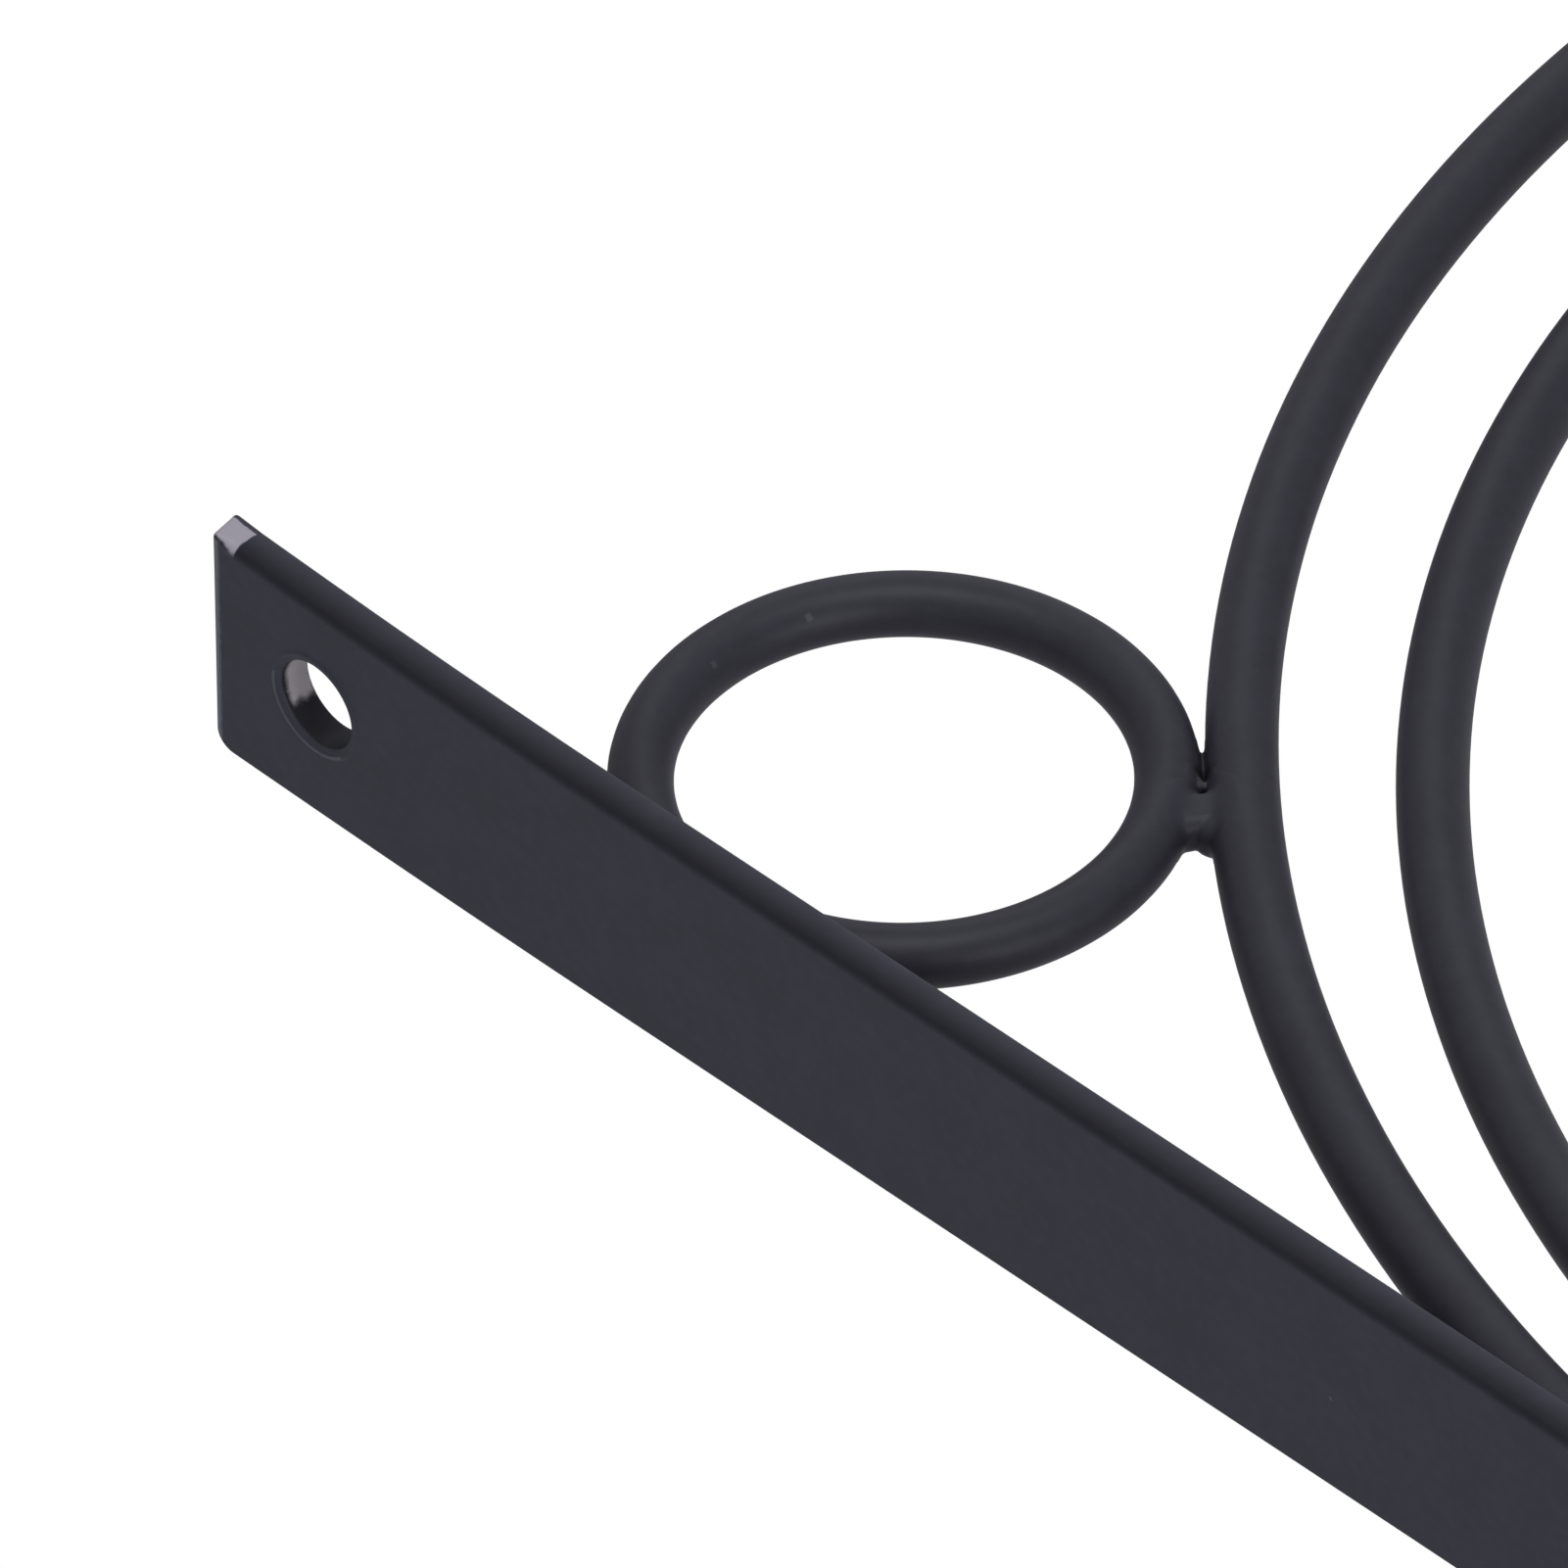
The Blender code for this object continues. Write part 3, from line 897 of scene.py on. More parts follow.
@dataclass(frozen=True)
class Rim:
    """One closed edge of a plate, as points with outward directions and how far each is rounded."""

    points: tuple[Point, ...]
    outwards: tuple[Point, ...]
    rounds: tuple[Point, ...]
    narrowing: float = 0.0

    @property
    def is_hole(self) -> bool:
        """Whether it is the edge of a hole, whose bore narrows."""
        return self.narrowing > 0.0


@dataclass(frozen=True)
class Plate:
    """A length of flat bar in its own space: length on u, width on v, and thickness on w.

    The front face is at w = 0. Rounding is given as a pair, for the front face's edge and for the back
    face's. A low burr stands round a hole's front edge, and its bore narrows a little towards the back.
    """

    length: float
    width: float
    thickness: float
    corner_radii: tuple[float, float, float, float]
    upper_rounds: Point = (0.7 * MM, 0.7 * MM)
    lower_rounds: Point = (0.7 * MM, 0.7 * MM)
    end_rounds: Point = (0.3 * MM, 0.3 * MM)
    hole_rounds: Point = (0.35 * MM, 0.35 * MM)
    holes: tuple[Point, ...] = ()
    bore_radius: float = 3.65 * MM
    bore_narrowing: float = 0.05 * MM
    burr_height: float = 0.13 * MM
    burr_width: float = 0.65 * MM
    burr_steps: int = 10
    end_clear: float = 0.35 * MM
    end_blend: float = 1.6 * MM
    # How strong the painted shade on the edges and down the holes is, and where it starts and fades.
    darkest: float = 0.78
    hole_shade_start: float = 0.3
    hole_shade_length: float = 0.5
    front_shade_gain: float = 1.4
    side_shade_loss: float = 1.1
    hole_steps: int = 96
    corner_steps: int = 14
    round_steps: int = 10
    flat_steps: int = 8
    close_spacing: float = 0.22 * MM
    close_length: float = 3.2 * MM
    far_spacing: float = 6.0 * MM

    def outline(self) -> Rim:
        """The bar's outline, anticlockwise, with close points near each corner.

        Returns:
            The outline's rim.
        """
        half = (self.length / 2, self.width / 2)
        points: list[Point] = []
        outwards: list[Point] = []
        signs = ((1, 1), (-1, 1), (-1, -1), (1, -1))
        for corner, (su, sv) in enumerate(signs):
            radius = self.corner_radii[corner]
            centre = (su * (half[0] - radius), sv * (half[1] - radius))
            start = corner * math.pi / 2
            for angle in np.linspace(start, start + math.pi / 2, self.corner_steps + 1):
                away = (math.cos(angle), math.sin(angle))
                points.append((centre[0] + radius * away[0], centre[1] + radius * away[1]))
                outwards.append(away)
            following = (corner + 1) % 4
            nu, nv = signs[following]
            radius = self.corner_radii[following]
            target = (nu * (half[0] - radius), nv * (half[1] - radius))
            away = (math.cos(start + math.pi / 2), math.sin(start + math.pi / 2))
            target = (target[0] + radius * away[0], target[1] + radius * away[1])
            for point in self._between(points[-1], target):
                points.append(point)
                outwards.append(away)
        rounds = tuple(self._edge_rounds(point, away) for point, away in zip(points, outwards))
        return Rim(tuple(points), tuple(outwards), rounds)

    def _between(self, start: Point, end: Point) -> list[Point]:
        """Points between two corners, close together near the corners and far apart between."""
        length = math.dist(start, end)
        close = min(self.close_length, length / 3)
        stations = list(np.arange(self.close_spacing, close, self.close_spacing))
        far_count = max(2, round((length - 2 * close) / self.far_spacing))
        middle = list(np.linspace(close, length - close, far_count + 1))
        stations = stations + middle + [length - s for s in reversed(stations)]
        return [
            (start[0] + (end[0] - start[0]) * s / length, start[1] + (end[1] - start[1]) * s / length)
            for s in stations
        ]

    def _edge_rounds(self, point: Point, away: Point) -> Point:
        """How far the front and back edges are rounded at an outline point."""
        from_end = self.length / 2 - abs(point[0])
        share = clamped((from_end - self.end_clear) / self.end_blend) * away[1] ** 2
        side = self.upper_rounds if away[1] > 0.0 else self.lower_rounds
        front, back = (end + (long - end) * share for end, long in zip(self.end_rounds, side))
        return front, back

    def hole(self, centre: Point) -> Rim:
        """The rim of a punched hole."""
        angles = np.linspace(0.0, -TURN, self.hole_steps, endpoint=False)
        radius = self.bore_radius
        points = tuple((centre[0] + radius * math.cos(a), centre[1] + radius * math.sin(a)) for a in angles)
        outwards = tuple((-math.cos(a), -math.sin(a)) for a in angles)
        rounds = (self.hole_rounds,) * self.hole_steps
        return Rim(points, outwards, rounds, self.bore_narrowing)

    def _section(self, front: float, back: float, rim: Rim) -> list[Point]:
        """Inset and depth of each point through the thickness, from the front face to the back."""
        section = []
        if rim.is_hole:
            for share in np.linspace(0.0, 1.0, self.burr_steps, endpoint=False):
                rise = self.burr_height * math.sin(math.pi * share) ** 2
                section.append((front + self.burr_width * (1.0 - share), -rise))
        for step in range(self.round_steps + 1):
            angle = math.pi / 2 * step / self.round_steps
            section.append((front * (1.0 - math.sin(angle)), front * (1.0 - math.cos(angle))))
        for step in range(1, self.flat_steps):
            section.append((0.0, front + (self.thickness - front - back) * step / self.flat_steps))
        for step in range(self.round_steps + 1):
            angle = math.pi / 2 * step / self.round_steps
            section.append((back * (1.0 - math.cos(angle)), self.thickness - back * (1.0 - math.sin(angle))))
        return section

    def mesh(self, name: str, place: Callable[[float, float, float], Vector]) -> bpy.types.Mesh:
        """Builds the plate.

        Args:
            name: The mesh's name.
            place: Turns the plate's own u, v, w into the frame's x, y, z.

        Returns:
            The mesh, with the painted edge shade on its points.
        """
        bm = bmesh.new()
        shade = bm.verts.layers.float.new(PAINTED_SHADE_ATTRIBUTE)
        borders: dict[str, list[bmesh.types.BMEdge]] = {"front": [], "back": []}
        for rim in [self.outline()] + [self.hole(centre) for centre in self.holes]:
            rows = []
            for point, away, (front, back) in zip(rim.points, rim.outwards, rim.rounds):
                row = []
                for inset, depth in self._section(front, back, rim):
                    reach = rim.narrowing * depth / self.thickness - inset
                    vert = bm.verts.new(place(point[0] + away[0] * reach, point[1] + away[1] * reach, depth))
                    # Painted shade on each point of the edge.
                    vert[shade] = self._shade(inset, depth, front, rim.is_hole)
                    row.append(vert)
                rows.append(row)
            for here, there in zip(rows, rows[1:] + rows[:1]):
                for step in range(len(here) - 1):
                    face = bm.faces.new((here[step], there[step], there[step + 1], here[step + 1]))
                    face.smooth = True
                borders["front"].append(bm.edges.get((here[0], there[0])))
                borders["back"].append(bm.edges.get((here[-1], there[-1])))
        for edges in borders.values():
            bmesh.ops.triangle_fill(bm, use_beauty=True, use_dissolve=False, edges=edges)
        bmesh.ops.recalc_face_normals(bm, faces=bm.faces)
        mesh = bpy.data.meshes.new(name)
        bm.to_mesh(mesh)
        bm.free()
        return mesh

    def _shade(self, inset: float, depth: float, front: float, in_hole: bool) -> float:
        """Painted shade on an edge: darkest where the front rounding ends, or all down a hole, standing in
        for the shade there.
        """
        if in_hole:
            return self.darkest * clamped((depth / front - self.hole_shade_start) / self.hole_shade_length)
        if depth < front:
            share = min(self.front_shade_gain * (1.0 - inset / front), 1.0)
            return self.darkest * share * share * (3.0 - 2.0 * share)
        below = (depth - front) / (self.thickness - front)
        return self.darkest * max(1.0 - self.side_shade_loss * below, 0.0)


@dataclass(frozen=True)
class EndBow:
    """The slight bow that the shear left in the wall bar's lower end."""

    length: float = 42.0 * MM
    rise_above: float = 1.2 * MM
    rise_below: float = 0.6 * MM
    stretch: float = 0.42 * MM
    stretch_length: float = 4.0 * MM

    def bend(self, mesh: bpy.types.Mesh, layout: Layout) -> None:
        """Bends the end sideways and draws it out a little.

        Args:
            mesh: The wall bar's mesh.
            layout: Where the bar ends.
        """
        for vert in mesh.vertices:
            from_end = vert.co.z + layout.bar_half_length
            share = max(1.0 - from_end / self.length, 0.0)
            across = 0.5 + 0.5 * vert.co.y / layout.bar_half_width
            vert.co.y += (self.rise_below + (self.rise_above - self.rise_below) * across) * share * share
            vert.co.z -= self.stretch * clamped(1.0 - from_end / self.stretch_length)


@dataclass(frozen=True)
class ShearedLip:
    """The burr that the shear left on the wall bar's lower end, at its +Y corner."""

    length: float = 2.2 * MM
    rise_front: float = 0.32 * MM
    rise_back: float = 0.15 * MM
    pull_back: float = 0.55 * MM
    depth: float = 1.5 * MM
    pull_depth: float = 5.0 * MM

    def raise_lip(self, mesh: bpy.types.Mesh, layout: Layout) -> None:
        """Lifts the corner's points outwards, and pulls its room side past the end.

        Args:
            mesh: The wall bar's mesh.
            layout: Where the bar's end and edge lie.
        """
        for vert in mesh.vertices:
            inwards = (vert.co.z + layout.bar_half_length) / self.length
            if inwards > 1.0:
                continue
            below = layout.bar_half_width - vert.co.y
            through = vert.co.x / layout.thickness
            share = (1.0 - inwards) * max(1.0 - below / self.depth, 0.0)
            vert.co.y += share * (self.rise_front + (self.rise_back - self.rise_front) * through)
            vert.co.z -= (1.0 - inwards) * max(1.0 - below / self.pull_depth, 0.0) * self.pull_back * through


class Parent(Enum):
    """What a weld grows from."""

    RING = "ring"
    FACE = "face"
    ROD = "rod"


@dataclass(frozen=True)
class Grown:
    """A surface that a weld runs out onto: a ring, a bar's flat face or a straight rod."""

    kind: Parent
    ring: Optional[Ring] = None
    point: Vector = Vector((0.0, 0.0, 0.0))
    normal: Vector = OUT
    radius: float = 0.0

    def distance(self, tree: Group, place: Field, label: str) -> Field:
        """Adds the nodes that measure how far a place is from this surface.

        Args:
            tree: The weld's tree.
            place: The place, in millimetres.
            label: What the surface is called in the names of the tree's inputs.

        Returns:
            The distance in millimetres.
        """
        if self.kind is Parent.RING:
            return self._ring_distance(tree, place, label)
        centre = tree.input(f"{label} point", Socket.VECTOR, tuple(self.point / MM))
        normal = tree.input(f"{label} direction", Socket.VECTOR, tuple(self.normal))
        offset = tree.minus(place, centre)
        along = tree.dot(offset, normal)
        if self.kind is Parent.FACE:
            return along
        radius = tree.input(f"{label} radius", Socket.VALUE, self.radius / MM)
        return (tree.dot(offset, offset) - along * along).at_least(0.0).root() - radius

    def _ring_distance(self, tree: Group, place: Field, label: str) -> Field:
        """The distance from a ring, which is a little out of round."""
        ring = self.ring
        middle = (ring.centre[0] / MM, 0.0, ring.centre[1] / MM)
        centre = tree.input(f"{label} centre", Socket.VECTOR, middle)
        radius = tree.input(f"{label} radius", Socket.VALUE, ring.radius / MM)
        rod = tree.input(f"{label} rod radius", Socket.VALUE, ring.rod / MM)
        unevenness = tree.input(f"{label} unevenness", Socket.VALUE, ring.unevenness)
        x, y, z = tree.parts(tree.minus(place, centre))
        angle = tree.math("ARCTAN2", x, z)
        reach = radius * (1.0 - unevenness * (angle * float(ring.swells)).sin())
        off_line = (x * x + z * z).root() - reach
        return (off_line * off_line + y * y).root() - rod


@dataclass(frozen=True)
class Bead:
    """A run of weld metal: a rounded bar, in millimetres, with soft ripples along it."""

    centre: Vector
    along: Vector
    outwards: Vector
    half: Place
    roundness: float
    ripple: float = 0.10
    pitch: float = 1.5
    slant: float = 0.9

    def distance(self, tree: Group, place: Field, label: str, mirrored: bool) -> Field:
        """Adds the nodes that measure how far a place is from the bead.

        Args:
            tree: The weld's tree.
            place: The place, in millimetres.
            label: What the bead is called in the names of the tree's inputs.
            mirrored: Whether there is a second bead on the other side of the plane Y = 0.

        Returns:
            The distance in millimetres.
        """
        if mirrored:
            x, y, z = tree.parts(place)
            place = tree.vector(x, y.size(), z)
        middle = tree.input(f"{label} middle", Socket.VECTOR, tuple(self.centre / MM))
        half = tree.input(f"{label} half size", Socket.VECTOR, self.half)
        roundness = tree.input(f"{label} roundness", Socket.VALUE, self.roundness)
        ripple = tree.input(f"{label} ripple", Socket.VALUE, self.ripple)
        pitch = tree.input(f"{label} ripple pitch", Socket.VALUE, self.pitch)
        across = self.along.cross(self.outwards).normalized()
        offset = tree.minus(place, middle)
        squares: Optional[Field] = None
        for direction, reach in zip((self.along, self.outwards, across), tree.parts(half)):
            beyond = (tree.dot(offset, direction).size() - reach).at_least(0.0)
            square = beyond * beyond
            squares = square if squares is None else squares + square
        run = tree.dot(offset, self.along)
        wave = (run * TURN / pitch + tree.dot(offset, across) * self.slant).sin() * ripple
        return squares.root() - roundness - wave


@dataclass(frozen=True)
class Weld:
    """A weld: beads that run out smoothly onto the pieces that they join.

    The tree fills a box with the distance to the joined shape and takes its surface. Its corners are
    in metres and the other sizes in millimetres. Away from the beads the surface sinks into the pieces.
    """

    name: str
    slot: str
    parents: tuple[Grown, ...]
    beads: tuple[Bead, ...]
    low: Vector
    high: Vector
    mirrored: bool = False
    blend: float = 2.2
    voxel: float = 0.17
    lift: float = 0.03
    sink: float = 0.3
    reach: float = 1.2
    fade: float = 1.6
    lumps: float = 0.10
    lumps_scale: float = 0.55
    fewest_steps: int = 8

    def build(self, coat: bpy.types.Material) -> bpy.types.Object:
        """Builds the weld.

        Args:
            coat: Its material.

        Returns:
            The weld's piece.
        """
        tree = Group(self.name, TreeKind.GEOMETRY)
        box = {
            "Min": tree.input("Low corner", Socket.VECTOR, tuple(self.low)),
            "Max": tree.input("High corner", Socket.VECTOR, tuple(self.high)),
        }
        for axis, length in zip("XYZ", self.high - self.low):
            steps = max(self.fewest_steps, round(length / MM / self.voxel))
            box[f"Resolution {axis}"] = tree.input(f"Steps {axis}", Socket.COUNT, steps)
        blend = tree.input("Blend", Socket.VALUE, self.blend)
        place = tree.scaled(tree.field("GeometryNodeInputPosition", {}), 1.0 / MM)

        metal: Optional[Field] = None
        for number, bead in enumerate(self.beads, 1):
            distance = bead.distance(tree, place, f"Bead {number}", self.mirrored)
            metal = distance if metal is None else metal.at_most(distance)
        lumpy = tree.noise(place, self.lumps_scale, detail=2.0, roughness=0.5)
        metal = metal + (lumpy - 0.5) * 2.0 * self.lumps
        sunk = tree.ramp(metal, self.reach, self.reach + self.fade) * (self.lift + self.sink) - self.lift
        shape: Optional[Field] = None
        for number, parent in enumerate(self.parents, 1):
            distance = parent.distance(tree, place, f"Piece {number}")
            joined = tree.math("SMOOTH_MIN", distance + sunk, metal, blend)
            shape = joined if shape is None else shape.at_most(joined)
        volume = tree.field("GeometryNodeVolumeCube", {"Density": 1.0 - shape, "Background": 0.0, **box})
        skin = {"Volume": volume, "Threshold": 1.0, "Adaptivity": 0.0}
        finish_geometry(tree, tree.field("GeometryNodeVolumeToMesh", skin), coat)
        piece = new_piece(self.name, run_tree(tree), coat)
        dress(piece, self.slot)
        return piece


@dataclass
class Finishes:
    """One powder coat for each material slot of the record."""

    materials: dict[str, bpy.types.Material]

    @classmethod
    def build(cls, layout: Layout, hole_z: float) -> "Finishes":
        """Builds every coat, with the marks that the photograph shows at the bar's lower end.

        Args:
            layout: Where the bar's end lies.
            hole_z: Height of the lower hole.

        Returns:
            The coats, by slot.
        """
        textures = Textures.build()
        # The bars' coat is the lit copy of the rods' black paint: painted light.
        bar = {"colour": BAR_COLOUR_WITH_PAINTED_LIGHT, "mottle_colour": BAR_MOTTLE_WITH_PAINTED_LIGHT}
        small = layout.wall_small_ring
        # Painted shade: dark patches in the crevices beside the webs.
        painted_crevice_shades = tuple(cls._painted_crevice_shade(layout, ring) for ring in (small, layout.arm_small_ring))
        specks = (
            cls._speck(small.skin_point(158.2, 138.0), 0.24 * MM, 0.085),
            cls._speck(small.skin_point(187.0, 134.0), 0.20 * MM, 0.070),
            # A painted highlight: the glint on the grain of spatter in the crevice.
            cls._speck(layout.spatter(small, 0.85 * MM), 0.42 * MM, 0.11),
        )
        coats = (
            PowderCoat("wall_bar", patches=cls._bar_marks(layout, hole_z), **bar),
            PowderCoat("arm", **bar),
            PowderCoat("outer_ring", patches=painted_crevice_shades),
            PowderCoat("inner_ring"),
            PowderCoat("small_rings", patches=painted_crevice_shades + specks),
            PowderCoat("hook"),
        )
        return cls({coat.name: coat.build(textures) for coat in coats})

    @staticmethod
    def _bar_marks(layout: Layout, hole_z: float) -> tuple[ColourPatch, ...]:
        """Marks on the wall bar: a light strip along its sheared end, bare steel at the lip there lightened
        as a painted reflection, a painted reflection on the hole's bore, and the burr's crest, lighter partly
        from wear and partly as a painted highlight.
        """
        # A light grey strip along the sheared end.
        sheared = ColourPatch(
            middle=(0.0, 0.0, -layout.bar_half_length - EndBow.stretch),
            half=(0.5 * MM, layout.bar_half_width + 1.0 * MM, 0.60 * MM),
            colour=(0.24, 0.25, 0.26),
            fade=0.5 * MM,
            uneven=0.3 * MM,
        )
        # Bare steel at the sheared lip, its colour raised as a painted reflection of the light that the
        # corner catches.
        lip = ColourPatch(
            middle=(1.26 * MM, layout.bar_half_width + 0.9 * MM, -layout.bar_half_length + 0.2 * MM),
            half=(1.16 * MM, 1.6 * MM, 1.6 * MM),
            colour=(0.54, 0.50, 0.54),
            fade=0.18 * MM,
            uneven=0.25 * MM,
        )
        # Painted reflection: the light patch on the hole's bore, where its wall reflects the bright
        # surroundings.
        bore = ColourPatch(
            middle=(1.75 * MM, 0.9 * MM, hole_z - 4.0 * MM),
            half=(1.1 * MM, 2.1 * MM, 1.6 * MM),
            colour=(0.60, 0.555, 0.545),
            fade=0.7 * MM,
            uneven=0.8 * MM,
        )
        # The burr's crest on its lower side, lighter partly from worn coat and partly as a painted highlight
        # where it catches the light.
        burr = ColourPatch(
            middle=(-0.20 * MM, -1.6 * MM, hole_z - 1.3 * MM),
            half=(0.11 * MM, 3.4 * MM, 3.9 * MM),
            colour=(0.13, 0.13, 0.145),
            fade=0.05 * MM,
            uneven=0.05 * MM,
        )
        return sheared, lip, bore, burr

    @staticmethod
    def _speck(
        place: Vector,
        reach: float,
        tone: float,
        blueness: float = 1.08,
        soft: float = 0.8,
        ragged: float = 0.3,
    ) -> ColourPatch:
        """A pale speck on the coat, for a speck of dust or a painted glint. Its soft and ragged border is
        given as shares of its reach.
        """
        return ColourPatch(
            middle=tuple(place),
            half=(reach, reach, reach),
            colour=(tone, tone, tone * blueness),
            fade=reach * soft,
            uneven=reach * ragged,
        )

    @staticmethod
    def _painted_crevice_shade(layout: Layout, small: Ring) -> ColourPatch:
        """Painted shade in the crevice between a small ring and the outer ring, beside their weld: a dark,
        dull patch where the crevice lies in shade.
        """
        contact, _, along = layout.touch_point(small)
        middle = contact + along * 0.9 * MM
        return ColourPatch(
            middle=tuple(middle),
            half=(0.6 * MM, 2.4 * MM, 0.6 * MM),
            colour=(0.015, 0.014, 0.017),
            roughness=0.7,
            gloss=0.25,
            fade=1.0 * MM,
            uneven=0.5 * MM,
        )


@dataclass(frozen=True)
class WallBar:
    """The upright flat bar on the wall, with a screw hole near each end.

    Its plate's front is the face that lies on the wall. The lower hole's shift is up and across the bar.
    """

    layout: Layout
    hole_from_end: float = 10.4 * MM
    lower_square_corner: float = 0.45 * MM
    rounded_corner: float = 1.6 * MM
    extra_width: float = 0.2 * MM
    lower_hole_shift: Point = (-0.15 * MM, 0.3 * MM)

    @property
    def hole_z(self) -> float:
        """Height of the upper hole above the bar's middle."""
        return self.layout.bar_half_length - self.hole_from_end

    def build(self, finishes: Finishes) -> bpy.types.Object:
        """Builds the bar with its sheared lower end.

        Args:
            finishes: The coats.

        Returns:
            The bar's piece.
        """
        layout = self.layout
        square, rounded = self.lower_square_corner, self.rounded_corner
        off = self.extra_width / 2
        shift_z, shift_y = self.lower_hole_shift
        plate = Plate(
            length=2.0 * layout.bar_half_length,
            width=2.0 * layout.bar_half_width + self.extra_width,
            thickness=layout.thickness,
            corner_radii=(square, square, rounded, rounded),
            upper_rounds=(0.95 * MM, 0.3 * MM),
            lower_rounds=(0.3 * MM, 0.7 * MM),
            holes=((shift_z - self.hole_z, shift_y + off), (self.hole_z, off)),
        )
        mesh = plate.mesh("wall_bar", lambda u, v, w: Vector((w, v - off, u)))
        ShearedLip().raise_lip(mesh, layout)
        EndBow().bend(mesh, layout)
        turn_outwards(mesh)
        piece = new_piece("flat_wall_bar", mesh, finishes.materials["wall_bar"])
        dress(piece, "wall_bar", ["wall_bar"])
        return piece


@dataclass(frozen=True)
class Arm:
    """The same flat bar, laid flat on the outer ring and welded to the wall bar's front."""

    layout: Layout
    rounded_corner: float = 1.6 * MM

    def build(self, finishes: Finishes) -> bpy.types.Object:
        """Builds the arm.

        Args:
            finishes: The coats.

        Returns:
            The arm's piece.
        """
        layout = self.layout
        start = layout.bar_face
        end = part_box("arm")[1].x
        middle = (start + end) / 2
        plate = Plate(
            length=end - start,
            width=2.0 * layout.bar_half_width,
            thickness=layout.thickness,
            corner_radii=(self.rounded_corner,) * 4,
        )
        top = layout.arm_underside + layout.thickness
        mesh = plate.mesh("arm", lambda u, v, w: Vector((middle + u, v, top - w)))
        turn_outwards(mesh)
        piece = new_piece("flat_arm", mesh, finishes.materials["arm"])
        dress(piece, "arm", ["arm"])
        return piece


@dataclass(frozen=True)
class Rings:
    """The four rings of round rod."""

    layout: Layout

    def build(self, finishes: Finishes) -> list[bpy.types.Object]:
        """Bends every ring.

        Args:
            finishes: The coats.

        Returns:
            The rings' pieces.
        """
        layout = self.layout
        rings = (
            ("outer_ring", layout.outer_ring, "outer_ring"),
            ("inner_ring", layout.inner_ring, "inner_ring"),
            ("wall_small_ring", layout.wall_small_ring, "small_rings"),
            ("arm_small_ring", layout.arm_small_ring, "small_rings"),
        )
        pieces = []
        for node, ring, slot in rings:
            coat = finishes.materials[slot]
            piece = new_piece(f"bent_{node}", ring.mesh(node, coat), coat)
            dress(piece, slot, [node])
            pieces.append(piece)
        return pieces


@dataclass(frozen=True)
class Hook:
    """The hook of round rod under the arm's free end."""

    layout: Layout
    line: HookLine = HookLine()
    sides: int = 40
    spacing: float = 0.3 * MM
    cut_rounding: float = 0.5 * MM
    tip_rounding: float = 2.2 * MM
    deepest_rounding: float = 0.98

    def build(self, finishes: Finishes) -> bpy.types.Object:
        """Sweeps the rod along the hook's line and rounds its two ends.

        Args:
            finishes: The coats.

            The hook's piece.
        """
        coat = finishes.materials["hook"]
        shank_z = self.layout.arm_underside - self.layout.touch_gap - self.layout.rod
        points = self.line.points(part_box("arm")[1].x, shank_z)
        curve = bpy.data.curves.new("hook_line", "CURVE")
        curve.dimensions = "3D"
        spline = curve.splines.new("POLY")
        spline.points.add(len(points) - 1)
        for place, (x, z) in zip(spline.points, points):
            place.co = (x, 0.0, z, 1.0)

        tree = Group("hook", TreeKind.GEOMETRY)
        path = tree.input("Path", Socket.GEOMETRY)
        rod = tree.input("Rod radius", Socket.VALUE, self.layout.rod)
        sides = tree.input("Sides", Socket.COUNT, self.sides)
        spacing = tree.input("Spacing", Socket.VALUE, self.spacing)
        cut = tree.input("Cut rounding", Socket.VALUE, self.cut_rounding)
        tip = tree.input("Tip rounding", Socket.VALUE, self.tip_rounding)
        inputs = {"Curve": path, "Length": spacing}
        even = tree.field("GeometryNodeResampleCurve", inputs, 0, {"mode": "LENGTH"})
        run = tree.field("GeometryNodeSplineParameter", {}, "Length")
        whole = tree.field("GeometryNodeSplineLength", {}, "Length")
        thickness = self._rounded(run, cut, rod) * self._rounded(whole - run, tip, rod)
        finish_geometry(tree, sweep_rod(tree, even, rod, sides, thickness, capped=True), coat)
        piece = new_piece("bent_hook", run_tree(tree, curve), coat)
        dress(piece, "hook", ["hook"])
        return piece

    def _rounded(self, run: Field, rounding: Field, rod: Field) -> Field:
        """The rod's thickness, as a share, at a distance from one of its ends."""
        into = 1.0 - (run / rounding).at_most(1.0)
        lost = 1.0 - (1.0 - into * into).at_least(0.0).root()
        return 1.0 - (rounding / rod) * lost * self.deepest_rounding


